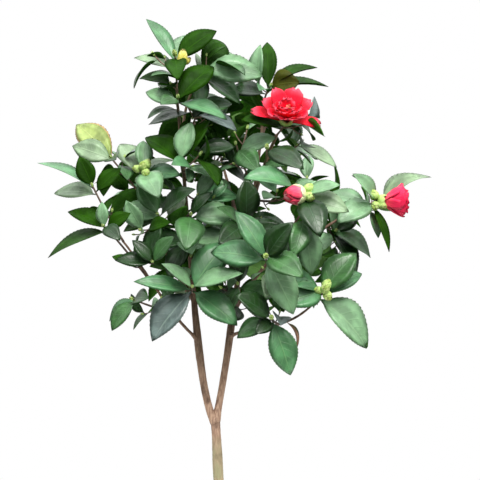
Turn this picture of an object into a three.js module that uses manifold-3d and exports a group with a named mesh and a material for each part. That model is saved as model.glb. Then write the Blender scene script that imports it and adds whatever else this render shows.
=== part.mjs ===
// A young camellia shrub, rooted in the ground: a short trunk that forks low into two stems, thin
// boughs, and sprays of glossy leaves with one open bloom, one half-open flower and green buds.
// Millimetres, +Z up, the front of the shrub towards -Y. The origin is the flat cut at ground level.
import * as THREE from 'three';
import { mergeVertices } from 'three/addons/utils/BufferGeometryUtils.js';
import Module from 'manifold-3d';

const wasm = await Module();
wasm.setup();

// ---------------------------------------------------------------- sizes
const CLEARANCE = 0.3;       // gap between a stem and the limb that carries it
const ARM = 0.1;             // share of each main stem that belongs to the trunk's fork
const STEM_LENGTH = 500;     // of each main stem, about
const FLARE_WIDTH = 2.6;     // how far the foot of the trunk swells
const FLARE_HEIGHT = 16;     // how quickly the swelling dies away
const TWIG_THICKENING = 1.5; // three-sided twigs are drawn wider, to hold the leaf stalks
const LEAF_THICKNESS = 1.8;  // at the midrib
const LEAF_FOLD = 0.12;      // rise of a leaf's edge, as a share of its width
const STALK_WIDTH = 3.2;
const LEAF_STEP = 5;         // distance between leaves along a shoot
const LEAF_APART = 9.5;      // between leaves of different shoots
const SHOOT_APART = 7;       // between the outer halves of leaves of one shoot
const TWIG_APART = 5;        // between a leaf and a limb or twig
const TRIM = 0.1;             // detail smaller than this is smoothed away where solids are fused
const BUD = { radius: 5, half: 8.5 };  // the green buds beside a flower

const TRUNK = { points: [[0, 0, 0], [0, 0, 55], [-3.5, 0, 125], [-7, 0, 178]], root: 8.8, tip: 6.6 };

// Each limb leaves its parent at a share of the parent's length, sets off along one vector and
// arrives at its end along another, and tapers from its root radius to its tip radius.
const LIMBS = [
  {
    name: 'left_stem', from: 'trunk', at: 1, root: 6.3, tip: 2,
    end: [-64, -4, 660], leave: [-28, -8, 30], arrive: [-18, -31, 190],
  },
  {
    name: 'right_stem', from: 'trunk', at: 1, root: 5.5, tip: 2.2,
    end: [85, -6, 607], leave: [31, 14, 139], arrive: [60, -43, 125],
  },
  {
    name: 'left_low_bough', from: 'left_stem', at: 0.39, root: 3.6, tip: 2.2,
    end: [-140, -46, 447], leave: [-41, -28, 36], arrive: [-38, -6, 48],
  },
  {
    name: 'left_mid_bough', from: 'left_stem', at: 0.55, root: 2.9, tip: 2,
    end: [-117, 14, 523], leave: [-39, 41, 23], arrive: [-10, -17, 51],
  },
  {
    name: 'right_low_bough', from: 'right_stem', at: 0.29, root: 3.2, tip: 2,
    end: [140, -62, 362], leave: [36, -51, 25], arrive: [44, -6, 50],
  },
  {
    name: 'right_up_bough', from: 'right_stem', at: 0.41, root: 3.4, tip: 2.1,
    end: [121, -76, 482], leave: [50, -66, 26], arrive: [2, -15, 84],
  },
  {
    name: 'far_right_bough', from: 'right_up_bough', at: 0.77, root: 2.1, tip: 1.9,
    end: [209, -42, 497], leave: [28, 10, 28], arrive: [37, 9, 15],
  },
  {
    name: 'top_right_bough', from: 'right_stem', at: 0.74, root: 2.8, tip: 1.9,
    end: [67, 34, 664], leave: [7, 19, 52], arrive: [3, -20, 55],
  },
  {
    name: 'top_centre_bough', from: 'left_stem', at: 0.88, root: 2.2, tip: 1.9,
    end: [-40, 24, 681], leave: [2, 7, 31], arrive: [17, -3, 30],
  },
  {
    name: 'back_left_bough', from: 'left_stem', at: 0.5, root: 3.2, tip: 2.1,
    end: [-105, 125, 500], leave: [-27, 55, 31], arrive: [-9, 35, 65],
  },
  {
    name: 'back_right_bough', from: 'right_stem', at: 0.36, root: 3.2, tip: 2.1,
    end: [120, 130, 480], leave: [22, 45, 51], arrive: [34, 26, 60],
  },
  {
    name: 'back_mid_bough', from: 'right_stem', at: 0.51, root: 3, tip: 2,
    end: [0, 125, 580], leave: [4, 38, 84], arrive: [-17, 32, 68],
  },
];

// Each mass of foliage is one leading shoot on a limb, with side shoots. Its leaves stand round the
// shoot at the hours of a clock seen from its face: 12 is up, 3 is to the right from the front. The
// shares make single leaves longer or shorter than the leaf of their mass.
const MASSES = [
  {
    name: 'top_left_crown', limb: 'left_stem', at: 1, sides: 1, first: 9, flower: 'bud',
    tip: [-66, -14, 722], face: [-0.1, -0.85, 0.5], leaf: 96, hours: [9.9, 12.3, 11.1, 1.8, 5.6],
    shares: [0.8, 0.75, 1, 0.95, 0.8],
  },
  {
    name: 'upper_left_front', limb: 'left_stem', at: 0.96, sides: 0, first: 0, flower: '',
    tip: [-61, -48, 657], face: [0.1, -0.8, 0.6], leaf: 76, hours: [10.1, 3.6, 1.4, 7.4],
    shares: [0.85, 1, 1.2, 0.6],
  },
  {
    name: 'left_leader', limb: 'left_stem', at: 0.81, sides: 1, first: 3, flower: '',
    tip: [-56, -55, 566], face: [0, -0.8, 0.6], leaf: 84, hours: [3.4, 10.6, 1, 12.4],
    shares: [1, 0.9, 1, 0.7],
  },
  {
    name: 'top_centre_crown', limb: 'top_centre_bough', at: 1, sides: 1, first: 3, flower: '',
    tip: [-26, -10, 706], face: [0.3, -0.85, 0.42], leaf: 90, hours: [2.2, 4.2, 1.3, 3.4, 5.4],
    shares: [1.1, 0.9, 0.8, 1, 1],
  },
  {
    name: 'upper_centre', limb: 'left_stem', at: 0.88, sides: 2, first: 4, flower: '',
    tip: [-31, -12, 644], face: [0.3, -0.7, 0.6], leaf: 76, hours: [9.8, 1.9, 4, 2.9, 12],
  },
  {
    name: 'top_right_crown', limb: 'top_right_bough', at: 1, sides: 0, first: 0, flower: '',
    tip: [76, 8, 682], face: [0.1, -0.85, 0.5], leaf: 92, hours: [10.2, 2.35, 12, 2, 3.4],
    shares: [0.9, 1.05, 1.05, 0.95, 0.6],
  },
  {
    name: 'bloom_spray', limb: 'right_stem', at: 1, sides: 1, first: 3, flower: 'bloom',
    tip: [98, -24, 622], face: [0.1, -0.7, 0.7], leaf: 78, hours: [1.4, 9, 4.4],
    shares: [1.1, 1, 0.9],
  },
  {
    name: 'right_shoulder', limb: 'right_stem', at: 0.91, sides: 1, first: 3, flower: '',
    tip: [122, 30, 598], face: [0.6, -0.4, 0.6], leaf: 72, hours: [3.2, 12.5, 5, 8],
  },
  {
    name: 'left_tip', limb: 'left_low_bough', at: 1, sides: 0, first: 0, flower: '',
    tip: [-184, -55, 528], face: [-0.25, -0.86, 0.45], leaf: 80, hours: [9.4, 1.5, 10.1, 11.1],
    shares: [0.9, 0.75, 1.25, 0.7],
  },
  {
    name: 'left_low_leaves', limb: 'left_low_bough', at: 0.55, sides: 0, first: 0, flower: '',
    tip: [-166, -76, 470], face: [-0.2, -0.93, 0.25], leaf: 88, hours: [8.6, 10.2, 2, 11.6, 4],
    shares: [1.1, 0.8, 0.55, 0.5, 0.5],
  },
  {
    name: 'yellow_leaf_spray', limb: 'left_mid_bough', at: 0.93, sides: 0, first: 0, flower: '',
    tip: [-162, -10, 572], face: [-0.25, -0.9, 0.35], leaf: 92, hours: [10.55, 9.6, 4],
    shares: [1.12, 0.78, 0.7],
  },
  {
    name: 'left_bud_spray', limb: 'left_mid_bough', at: 1, sides: 1, first: 3, flower: 'buds',
    tip: [-113, -28, 553], face: [0, -0.8, 0.6], leaf: 80, hours: [10.7, 3.4, 2, 4.8, 12.6],
    shares: [1.1, 1, 0.9, 1, 0.7],
  },
  {
    name: 'left_hang', limb: 'left_low_bough', at: 0.83, sides: 0, first: 5, flower: '',
    tip: [-96, -66, 418], face: [-0.2, -0.9, 0.3], leaf: 58, hours: [9, 10.2, 1.5],
    shares: [1.1, 0.8, 1],
  },
  {
    name: 'left_low_tip', limb: 'left_low_bough', at: 0.32, sides: 0, first: 0, flower: '',
    tip: [-124, -75, 365], face: [-0.5, -0.8, 0.3], leaf: 58, hours: [8.2, 7, 3],
  },
  {
    name: 'left_front', limb: 'left_stem', at: 0.53, sides: 0, first: 0, flower: '',
    tip: [-38, -92, 383], face: [0.05, -0.92, 0.35], leaf: 90, hours: [7.5, 4.2, 8.7, 1.1, 10, 2.6],
    shares: [1, 1, 1, 1, 0.75, 1],
  },
  {
    name: 'left_inner', limb: 'left_mid_bough', at: 0.69, sides: 1, first: 7, flower: '',
    tip: [-90, -42, 487], face: [-0.3, -0.8, 0.4], leaf: 72, hours: [8.2, 6.9, 9.4, 2, 11.4],
  },
  {
    name: 'left_arch', limb: 'left_stem', at: 0.66, sides: 1, first: 10, flower: '',
    tip: [-47, -46, 450], face: [-0.1, -0.9, 0.3], leaf: 78, hours: [9.2, 3.2, 7.4, 4.9],
  },
  {
    name: 'centre_left', limb: 'left_stem', at: 0.73, sides: 0, first: 0, flower: '',
    tip: [-41, -66, 486], face: [0, -0.9, 0.4], leaf: 80, hours: [3.1, 9.9, 12.2, 6],
  },
  {
    name: 'centre_fan', limb: 'left_stem', at: 0.77, sides: 1, first: 4, flower: '',
    tip: [-33, -30, 515], face: [0.2, -0.8, 0.5], leaf: 80, hours: [1.9, 3.3, 12.5, 10.6],
  },
  {
    name: 'centre_high', limb: 'right_stem', at: 0.78, sides: 2, first: 8, flower: '',
    tip: [24, -16, 592], face: [-0.2, -0.8, 0.6], leaf: 76, hours: [9.7, 2, 4.8, 7.6, 12],
  },
  {
    name: 'right_leader', limb: 'right_stem', at: 0.86, sides: 0, first: 0, flower: 'bud',
    tip: [69, -52, 581], face: [0, -0.85, 0.5], leaf: 82, hours: [10.5, 7.4, 1.2, 4.4],
  },
  {
    name: 'right_pale', limb: 'right_stem', at: 0.76, sides: 0, first: 0, flower: '',
    tip: [109, -86, 526], face: [0.2, -0.85, 0.5], leaf: 86, hours: [2, 7, 4.4, 10.3],
    shares: [0.6, 1, 1, 1.3],
  },
  {
    name: 'opening_bud_spray', limb: 'right_up_bough', at: 1, sides: 0, first: 0, flower: 'opening',
    tip: [120, -104, 515], face: [0.1, -0.85, 0.5], leaf: 76, hours: [12.8, 3.7, 5.6, 2.7],
    shares: [0.6, 1, 1, 0.8],
  },
  {
    name: 'far_right_spray', limb: 'far_right_bough', at: 1, sides: 0, first: 0, flower: 'half',
    tip: [230, -52, 506], face: [0.15, -0.93, 0.32], leaf: 78, hours: [9.9, 5.25, 8.2, 10.6],
    shares: [0.8, 0.95, 1, 0.85],
  },
  {
    name: 'right_dark', limb: 'far_right_bough', at: 0.48, sides: 1, first: 6, flower: '',
    tip: [171, -20, 463], face: [0.3, -0.85, 0.3], leaf: 80, hours: [3.7, 4.9, 8, 1.9, 10.5],
    shares: [1.15, 0.9, 1, 0.6, 0.8],
  },
  {
    name: 'right_hang', limb: 'right_up_bough', at: 0.88, sides: 0, first: 0, flower: '',
    tip: [120, -112, 480], face: [0, -0.95, 0.2], leaf: 76, hours: [5.6, 7.2, 3.2, 6.4],
  },
  {
    name: 'right_bud_spray', limb: 'right_low_bough', at: 1, sides: 0, first: 0, flower: 'buds',
    tip: [149, -84, 377], face: [0.2, -0.92, 0.35], leaf: 96, hours: [4.25, 1.9, 12.7, 10.3, 8.9],
    shares: [1.08, 0.9, 0.9, 0.95, 0.9],
  },
  {
    name: 'front_whorl', limb: 'right_up_bough', at: 0.43, sides: 0, first: 0, flower: 'bud',
    tip: [66, -128, 426], face: [-0.02, -0.96, 0.22], leaf: 86, hours: [9, 5, 11.1, 1, 3.4],
  },
  {
    name: 'low_whorl', limb: 'right_low_bough', at: 0.6, sides: 0, first: 0, flower: 'bud',
    tip: [74, -110, 340], face: [0, -0.92, 0.2], leaf: 84, hours: [5.3, 8.3, 7.2, 1.9, 10.3],
    shares: [1, 0.7, 0.65, 1, 0.9],
  },
  {
    name: 'centre_low', limb: 'right_stem', at: 0.37, sides: 1, first: 8, flower: '',
    tip: [27, -40, 385], face: [-0.2, -0.8, 0.4], leaf: 68, hours: [9, 3, 6.5, 12],
  },
  {
    name: 'centre_mid', limb: 'right_stem', at: 0.58, sides: 2, first: 2, flower: '',
    tip: [39, -50, 476], face: [0.2, -0.85, 0.4], leaf: 76, hours: [2, 10, 5, 7.6, 12],
  },
  {
    name: 'back_left', limb: 'back_left_bough', at: 1, sides: 3, first: 1, flower: '',
    tip: [-125, 145, 540], face: [-0.5, 0.6, 0.6], leaf: 80, hours: [0, 4.6, 9.2, 1.8, 6.4],
  },
  {
    name: 'back_left_low', limb: 'back_left_bough', at: 0.63, sides: 3, first: 2, flower: '',
    tip: [-72, 110, 405], face: [-0.6, 0.6, 0.3], leaf: 72, hours: [0, 4.6, 9.2, 1.8, 6.4],
  },
  {
    name: 'back_right', limb: 'back_right_bough', at: 1, sides: 3, first: 3, flower: '',
    tip: [150, 150, 520], face: [0.5, 0.6, 0.6], leaf: 80, hours: [0, 4.6, 9.2, 1.8, 6.4],
  },
  {
    name: 'back_right_low', limb: 'back_right_bough', at: 0.64, sides: 3, first: 4, flower: '',
    tip: [115, 118, 400], face: [0.8, 0.5, 0.25], leaf: 76, hours: [0, 4.6, 9.2, 1.8, 6.4],
  },
  {
    name: 'back_mid', limb: 'back_mid_bough', at: 1, sides: 4, first: 5, flower: '',
    tip: [0, 145, 625], face: [0, 0.6, 0.8], leaf: 80, hours: [0, 4.6, 9.2, 1.8, 6.4],
  },
  {
    name: 'back_mid_low', limb: 'back_mid_bough', at: 0.59, sides: 4, first: 6, flower: '',
    tip: [15, 155, 470], face: [0.1, 1, 0.3], leaf: 80, hours: [0, 4.6, 9.2, 1.8, 6.4],
  },
  {
    name: 'back_top_left', limb: 'left_stem', at: 0.87, sides: 2, first: 4, flower: '',
    tip: [-45, 75, 655], face: [-0.3, 0.7, 0.6], leaf: 76, hours: [0, 4.6, 9.2, 1.8, 6.4],
  },
  {
    name: 'back_top_right', limb: 'top_right_bough', at: 0.6, sides: 2, first: 4, flower: '',
    tip: [80, 95, 650], face: [0.3, 0.7, 0.6], leaf: 76, hours: [0, 4.6, 9.2, 1.8, 6.4],
  },
  {
    name: 'inner_high', limb: 'left_stem', at: 0.8, sides: 2, first: 9, flower: '',
    tip: [0, 40, 580], face: [0.4, -0.5, 0.6], leaf: 78, hours: [0, 4.6, 9.2, 1.8, 6.4],
  },
  {
    name: 'inner_low', limb: 'left_stem', at: 0.58, sides: 2, first: 5, flower: '',
    tip: [-22, 45, 425], face: [0.2, 0.5, 0.6], leaf: 74, hours: [0, 4.6, 9.2, 1.8, 6.4],
  },
  {
    name: 'far_right_tip', limb: 'far_right_bough', at: 0.93, sides: 0, first: 0, flower: '',
    tip: [240, -18, 514], face: [0.15, -0.95, 0.2], leaf: 88, hours: [1.6, 1.85],
    shares: [1.1, 0.72],
  },
];

// What each flower faces, how far its ball stands along that way, the ball's radius, and the clock
// hours of the green buds beside it. Without a way of its own a bud faces as its shoot does.
const FLOWERS = {
  bloom: {
    way: [0.05, -0.64, 0.77], along: 22, ball: 34, buds: [],
    bowl: { radius: 46, depth: 26, heart: 30, lobes: 6, wave: 0.1 },
  },
  half: {
    way: [0.9, -0.42, 0.12], along: 26, ball: 25, buds: [11, 7, 4.6],
    bowl: { radius: 30, depth: 46, heart: 30, lobes: 5, wave: 0.08 },
  },
  opening: { way: [-0.9, -0.4, -0.1], along: 12, ball: 17, radius: 13, half: 17, buds: [1.5, 4.5] },
  buds: { way: null, along: 12, ball: 14, radius: 6, half: 9, buds: [1, 5, 9] },
  bud: { way: null, along: 8, ball: 8, radius: 5, half: 8.5, buds: [] },
};

const BARK = { color: 0x8d7767, roughness: 0.85 };
const FOLIAGE = { color: 0x3f6b45, roughness: 0.4 };

// ---------------------------------------------------------------- vectors and chance
const vec = (p) => new THREE.Vector3(p[0], p[1], p[2]);
const UP = vec([0, 0, 1]);
const BACK = vec([0, 1, 0]);
const HOUR = Math.PI / 6;

// v without its part along an axis
function across(v, axis) {
  return v.clone().addScaledVector(axis, -v.dot(axis));
}

// The sum of vectors, each times its weight: mix(a, 1, b, 2) is a + 2 b
function mix(...terms) {
  const sum = new THREE.Vector3();
  for (let i = 0; i < terms.length; i += 2) {
    sum.addScaledVector(terms[i], terms[i + 1]);
  }
  return sum;
}

// A repeatable dice for each mass, so the shrub grows the same way every time
function dice(seed) {
  let state = seed;
  const draw = (low, high) => {
    state = (state * 48271) % 2147483647;
    return low + ((high - low) * state) / 2147483647;
  };
  draw(0, 1);
  draw(0, 1);
  draw(0, 1);
  return draw;
}

// The way that leans out from a face by an angle, towards an hour of the clock on it
function toward(face, hour, lean) {
  let twelve = across(UP, face);
  if (twelve.length() < 0.35) {
    twelve = across(BACK, face);
  }
  twelve.normalize();
  const three = new THREE.Vector3().crossVectors(twelve, face);
  const out = mix(twelve, Math.cos(hour * HOUR), three, Math.sin(hour * HOUR));
  return mix(face, Math.cos(lean), out, Math.sin(lean)).normalize();
}

// ---------------------------------------------------------------- limbs and shoots
class Branch {
  constructor(name, points, root, tip) {
    this.name = name;
    this.points = points;
    this.root = root;
    this.tip = tip;
    this.curve = points.length === 4
      ? new THREE.CubicBezierCurve3(...points)
      : new THREE.QuadraticBezierCurve3(...points);
  }

  at(t) {
    return this.curve.getPoint(t);
  }

  // The direction of growth at a share of the length
  way(t) {
    const p = this.points;
    const steps = p.slice(1).map((q, i) => q.clone().sub(p[i]));
    const weights = p.length === 4 ? [(1 - t) ** 2, 2 * t * (1 - t), t * t] : [1 - t, t];
    return mix(...steps.flatMap((step, i) => [step, weights[i]])).normalize();
  }

  radius(t) {
    return this.root + (this.tip - this.root) * t;
  }
}

function growLimbs() {
  const limbs = { trunk: new Branch('trunk', TRUNK.points.map(vec), TRUNK.root, TRUNK.tip) };
  for (const row of LIMBS) {
    const start = limbs[row.from].at(row.at);
    const end = vec(row.end);
    const points = [start, start.clone().add(vec(row.leave)), end.clone().sub(vec(row.arrive)), end];
    limbs[row.name] = new Branch(row.name, points, row.root, row.tip);
  }
  return limbs;
}

// The leading shoot of a mass and its side shoots
function growShoots(row, draw, limbs) {
  const limb = limbs[row.limb];
  const tip = vec(row.tip);
  const face = vec(row.face).normalize();
  const start = limb.at(row.at);
  const reach = tip.distanceTo(start);
  const bow = mix(tip, 1, face, -0.45 * reach);
  if (row.at === 1) {
    bow.add(mix(start, 1, limb.way(1), 0.5 * reach)).multiplyScalar(0.5);
  }
  const stem = new Branch('stem', [start, bow, tip], reach > 60 ? 1.9 : 1.6, 1.15);
  const shoots = [{ stem, face, hours: row.hours, leaf: row.leaf, shares: row.shares ?? [] }];
  for (let k = 0; k < row.sides; k += 1) {
    const t = 0.35 + (0.5 * (k + 0.5)) / row.sides;
    const hour = row.first + k * 4.58 + draw(-0.6, 0.6);
    const way = mix(toward(stem.way(t), hour, Math.PI / 3), 1, UP, 0.2).normalize();
    const length = draw(28, 44);
    const root = stem.at(t);
    const end = mix(root, 1, way, length);
    const sideFace = mix(way, 1, UP, 0.4).normalize();
    const firstHour = draw(0, 12);
    const count = 3 + Math.floor(draw(0, 2.5));
    const hours = Array.from({ length: count }, (_, j) => firstHour + j * 4.58);
    const side = new Branch('side', [root, mix(end, 1, sideFace, -0.5 * length), end], 1.25, 1);
    shoots.push({ stem: side, face: sideFace, hours, leaf: row.leaf * draw(0.8, 0.95), shares: [] });
  }
  return shoots;
}

// ---------------------------------------------------------------- leaves and petals
// A blade is a leaf or petal: its midrib is an arc that starts along its way and bends away from
// its upper side.
class Blade {
  constructor(base, way, normal, length, width, bend) {
    Object.assign(this, { base, way, normal, length, width, bend });
    this.side = new THREE.Vector3().crossVectors(way, normal);
  }

  rib(t) {
    const turn = this.bend * t;
    const reach = (this.length * Math.sin(turn)) / this.bend;
    const drop = (this.length * (1 - Math.cos(turn))) / this.bend;
    return mix(this.base, 1, this.way, reach, this.normal, -drop);
  }

  // The upper side's direction at a share of the length
  lift(t) {
    return mix(this.normal, Math.cos(this.bend * t), this.way, Math.sin(this.bend * t));
  }

  halfWidth(t) {
    if (t <= 0.08 || t >= 1) {
      return 0;
    }
    return 0.5 * this.width * Math.sin(Math.PI * ((t - 0.08) / 0.92) ** 0.82) ** 0.9;
  }

  // A point on the blade: s is -1 at one edge, 0 on the midrib and 1 at the other edge
  point(t, s) {
    const half = this.halfWidth(t) * 0.92;
    const fold = Math.abs(s) * LEAF_FOLD * this.width;
    return mix(this.rib(t), 1, this.side, s * half, this.lift(t), fold);
  }
}

const TEST_POINTS = [
  [0.28, 0], [0.46, 0], [0.64, 0], [0.82, 0], [1, 0],
  [0.32, 1], [0.32, -1], [0.52, 1], [0.52, -1], [0.74, 1], [0.74, -1],
];
const isOuter = (t) => t >= 0.45;

// A leaf that comes too near a limb, a twig, a flower or another leaf tries a few turns to either
// side, smaller each time, and is left out if none is free.
const TRIES = [[0, 0], [0.5, -0.15], [-0.5, 0.15], [0.2, -0.45], [-0.8, 0.3], [0.9, -0.3]];

function isFree(base, points, mass, shoot, wood, balls, taken) {
  for (const [i, p] of points.entries()) {
    const outer = isOuter(TEST_POINTS[i][0]);
    if (wood.some((w) => w.at.distanceTo(base) > 20 && w.at.distanceTo(p) - w.radius < TWIG_APART)) {
      return false;
    }
    if (balls.some((b) => (outer || b.mass !== mass) && b.at.distanceTo(p) < b.radius + 2)) {
      return false;
    }
    for (const other of taken) {
      const apart = p.distanceTo(other.at);
      if (other.shoot !== shoot && apart < LEAF_APART) {
        return false;
      }
      if (other.shoot === shoot && outer && other.outer && apart < SHOOT_APART) {
        return false;
      }
    }
  }
  return true;
}

function growLeaves(mass, wood, balls, taken) {
  const { draw } = mass;
  for (const shoot of mass.shoots) {
    const count = shoot.hours.length;
    const reach = shoot.stem.points[2].distanceTo(shoot.stem.points[0]);
    for (const [k, hour] of shoot.hours.entries()) {
      const back = 2 + (count - 1 - k) * LEAF_STEP;
      const base = shoot.stem.at(Math.max(0, 1 - back / Math.max(20, reach)));
      const lean = THREE.MathUtils.degToRad(84 - (34 * k) / (count - 1));
      const length = shoot.leaf * draw(0.86, 1.06) * (shoot.shares[k] ?? 1);
      const width = length * draw(0.45, 0.54);
      const bend = draw(0.35, 0.85);
      const roll = draw(-0.35, 0.35);
      for (const [n, [turn, tilt]] of TRIES.entries()) {
        const way = toward(shoot.face, hour + turn, lean + tilt);
        const flat = across(mix(shoot.face, 1, UP, 0.35), way).normalize();
        const normal = flat.applyAxisAngle(way, roll);
        const size = 1 - 0.06 * n;
        const leaf = new Blade(base, way, normal, length * size, width * size, bend);
        const points = TEST_POINTS.map(([t, s]) => leaf.point(t, s));
        if (isFree(base, points, mass, shoot, wood, balls, taken)) {
          mass.leaves.push(leaf);
          points.forEach((at, i) => taken.push({ at, shoot, outer: isOuter(TEST_POINTS[i][0]) }));
          break;
        }
      }
    }
  }
}

// ---------------------------------------------------------------- solids
// One closed solid from a three.js geometry
function toSolid(geometry) {
  geometry.deleteAttribute('normal');
  geometry.deleteAttribute('uv');
  const merged = mergeVertices(geometry);
  return new wasm.Manifold(new wasm.Mesh({
    numProp: 3,
    vertProperties: new Float32Array(merged.attributes.position.array),
    triVerts: new Uint32Array(merged.index.array),
  }));
}

// Moves every point of a geometry to where a function says
function shape(geometry, move) {
  const places = geometry.attributes.position;
  const p = new THREE.Vector3();
  for (let i = 0; i < places.count; i += 1) {
    const q = move(p.fromBufferAttribute(places, i));
    places.setXYZ(i, q.x, q.y, q.z);
  }
  return toSolid(geometry);
}

// A cylinder bent along a branch from one share of its length to another, grown by a margin
function tube(branch, sides, steps, { from = 0, to = 1, margin = 0, widen = 1, radius = null } = {}) {
  const frames = [];
  let out = across(Math.abs(branch.way(from).y) < 0.8 ? BACK : UP, branch.way(from)).normalize();
  for (let i = 0; i <= steps; i += 1) {
    const t = from + ((to - from) * i) / steps;
    const way = branch.way(t);
    out = across(out, way).normalize();
    const centre = branch.at(t);
    if (i === steps) {
      centre.addScaledVector(way, margin);
    }
    const size = radius ? radius(t, centre) : branch.radius(t) * widen;
    frames.push({ centre, out, side: new THREE.Vector3().crossVectors(out, way), size: size + margin });
  }
  return shape(new THREE.CylinderGeometry(1, 1, 1, sides, steps), (p) => {
    const frame = frames[Math.round((p.y + 0.5) * steps)];
    return mix(frame.centre, 1, frame.out, p.x * frame.size, frame.side, p.z * frame.size);
  });
}

// A thin closed blade on a stalk: a three-sided ball drawn out along the midrib, with its third
// side as the keel underneath
const RINGS = [1, 0.72, 0.4, 0.12, -0.02];
function bladeSolid(blade) {
  return shape(new THREE.SphereGeometry(1, 3, 4), (p) => {
    const ring = Math.round((Math.acos(THREE.MathUtils.clamp(p.y, -1, 1)) / Math.PI) * 4);
    const t = RINGS[ring];
    if (ring === 0 || ring === 4) {
      return blade.rib(t);
    }
    const half = ring === 3 ? STALK_WIDTH / 2 : blade.halfWidth(t);
    const fold = ring === 3 ? STALK_WIDTH / 4 : LEAF_FOLD * blade.width;
    const isKeel = p.x < 0;
    const s = isKeel ? 0 : -Math.sign(p.z);
    const up = isKeel ? -LEAF_THICKNESS / 2 : fold;
    return mix(blade.rib(t), 1, blade.side, s * half, blade.lift(t), up);
  });
}

// A round or egg-shaped bud that stands on a point and faces a way
function egg(base, way, radius, half) {
  const turn = new THREE.Quaternion().setFromUnitVectors(BACK, way);
  return shape(new THREE.SphereGeometry(1, 5, 4), (p) => {
    p.set(p.x * radius, (p.y + 0.85) * half, p.z * radius);
    return p.applyQuaternion(turn).add(base);
  });
}

// An open flower as one solid: a bowl with a waved, lobed rim and a domed heart
function bowl(base, way, size) {
  const { radius, depth, heart, lobes, wave } = size;
  const turn = new THREE.Quaternion().setFromUnitVectors(BACK, way);
  const rings = [[0.01, heart], [0.55, heart * 0.72], [1, depth], [0.6, depth * 0.35], [0.01, 0]];
  return shape(new THREE.SphereGeometry(1, lobes * 3, 4), (p) => {
    const [share, height] = rings[Math.round((Math.acos(THREE.MathUtils.clamp(p.y, -1, 1)) / Math.PI) * 4)];
    const angle = Math.atan2(p.z, p.x);
    const lobe = share > 0.5 ? wave * Math.cos(lobes * angle) : 0;
    const out = share < 0.5 ? 0 : radius * (share + lobe);
    p.set(Math.cos(angle) * out, height + lobe * depth, Math.sin(angle) * out);
    return p.applyQuaternion(turn).add(base);
  });
}

function flowerSolids(flower) {
  const { base, way, face, kind } = flower;
  const { buds, bowl: size, radius, half } = FLOWERS[kind];
  const solids = [size ? bowl(base, way, size) : egg(base, way, radius, half)];
  for (const hour of buds) {
    solids.push(egg(base, toward(face, hour, 1.2), BUD.radius * 1.15, BUD.half));
  }
  return solids;
}

// The largest piece of a solid: loose scrap is dropped
function whole(solid) {
  return solid.decompose().sort((a, b) => b.volume() - a.volume())[0];
}

// Whether two solids share any space
function meets(a, b) {
  const [p, q] = [a.boundingBox(), b.boundingBox()];
  const near = [0, 1, 2].every((i) => p.min[i] < q.max[i] && q.min[i] < p.max[i]);
  return near && a.intersect(b).volume() > 0.001;
}

function addMesh(group, name, solid, look) {
  const mesh = solid.getMesh();
  const geometry = new THREE.BufferGeometry();
  geometry.setAttribute('position', new THREE.BufferAttribute(mesh.vertProperties, 3));
  geometry.setIndex(new THREE.BufferAttribute(mesh.triVerts, 1));
  geometry.computeVertexNormals();
  const part = new THREE.Mesh(geometry, new THREE.MeshStandardMaterial({ metalness: 0, ...look }));
  part.name = name;
  group.add(part);
}

// ---------------------------------------------------------------- the shrub
const limbs = growLimbs();
const masses = MASSES.map((row, index) => {
  const draw = dice(101 + 37 * index);
  const shoots = growShoots(row, draw, limbs);
  const mass = { name: row.name, limb: row.limb, draw, shoots, leaves: [], flower: null };
  if (row.flower) {
    const kind = FLOWERS[row.flower];
    const face = shoots[0].face;
    const way = kind.way ? vec(kind.way).normalize() : face;
    mass.flower = { kind: row.flower, base: shoots[0].stem.at(1), way, face };
  }
  return mass;
});

const wood = [];
function noteWood(branch, steps) {
  for (let i = 0; i <= steps; i += 1) {
    wood.push({ at: branch.at(i / steps), radius: branch.radius(i / steps) });
  }
}
Object.values(limbs).forEach((limb) => noteWood(limb, 60));
masses.forEach((mass) => mass.shoots.forEach((shoot) => noteWood(shoot.stem, 16)));

const balls = [];
for (const mass of masses.filter((m) => m.flower)) {
  const { along, ball } = FLOWERS[mass.flower.kind];
  balls.push({ at: mix(mass.flower.base, 1, mass.flower.way, along), radius: ball, mass });
}

const taken = [];
masses.forEach((mass) => growLeaves(mass, wood, balls, taken));

// The trunk, with its swelling foot and the two arms of its fork
function footRadius(t, centre) {
  return limbs.trunk.radius(t) + FLARE_WIDTH * Math.exp(-centre.z / FLARE_HEIGHT);
}

const STEMS = LIMBS.filter((row) => row.from === 'trunk').map((row) => row.name);
const arms = STEMS.map((name) => tube(limbs[name], 8, 2, { to: ARM }));
const trunk = wasm.Manifold.union([tube(limbs.trunk, 10, 10, { radius: footRadius }), ...arms]);

// Every limb keeps the clearance from its parent
const group = new THREE.Group();
group.name = 'camellia_shrub';
const solids = { trunk: whole(trunk) };
const shells = { trunk: tube(limbs.trunk, 10, 10, { margin: CLEARANCE }) };
for (const row of LIMBS) {
  const limb = limbs[row.name];
  const isStem = STEMS.includes(row.name);
  const sides = isStem ? 8 : 6;
  const steps = isStem ? 10 : 6;
  const from = isStem ? ARM + CLEARANCE / STEM_LENGTH : 0;
  let solid = tube(limb, sides, steps, { from });
  if (!isStem) {
    solid = solid.subtract(shells[row.from]);
  }
  solids[row.name] = whole(solid);
  shells[row.name] = tube(limb, sides, steps, { margin: CLEARANCE * 1.2 });
}
for (const [name, solid] of Object.entries(solids)) {
  addMesh(group, name, solid, BARK);
}

function cutClear(solid) {
  return Object.values(shells).reduce((rest, shell) => rest.subtract(shell), solid);
}

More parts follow.
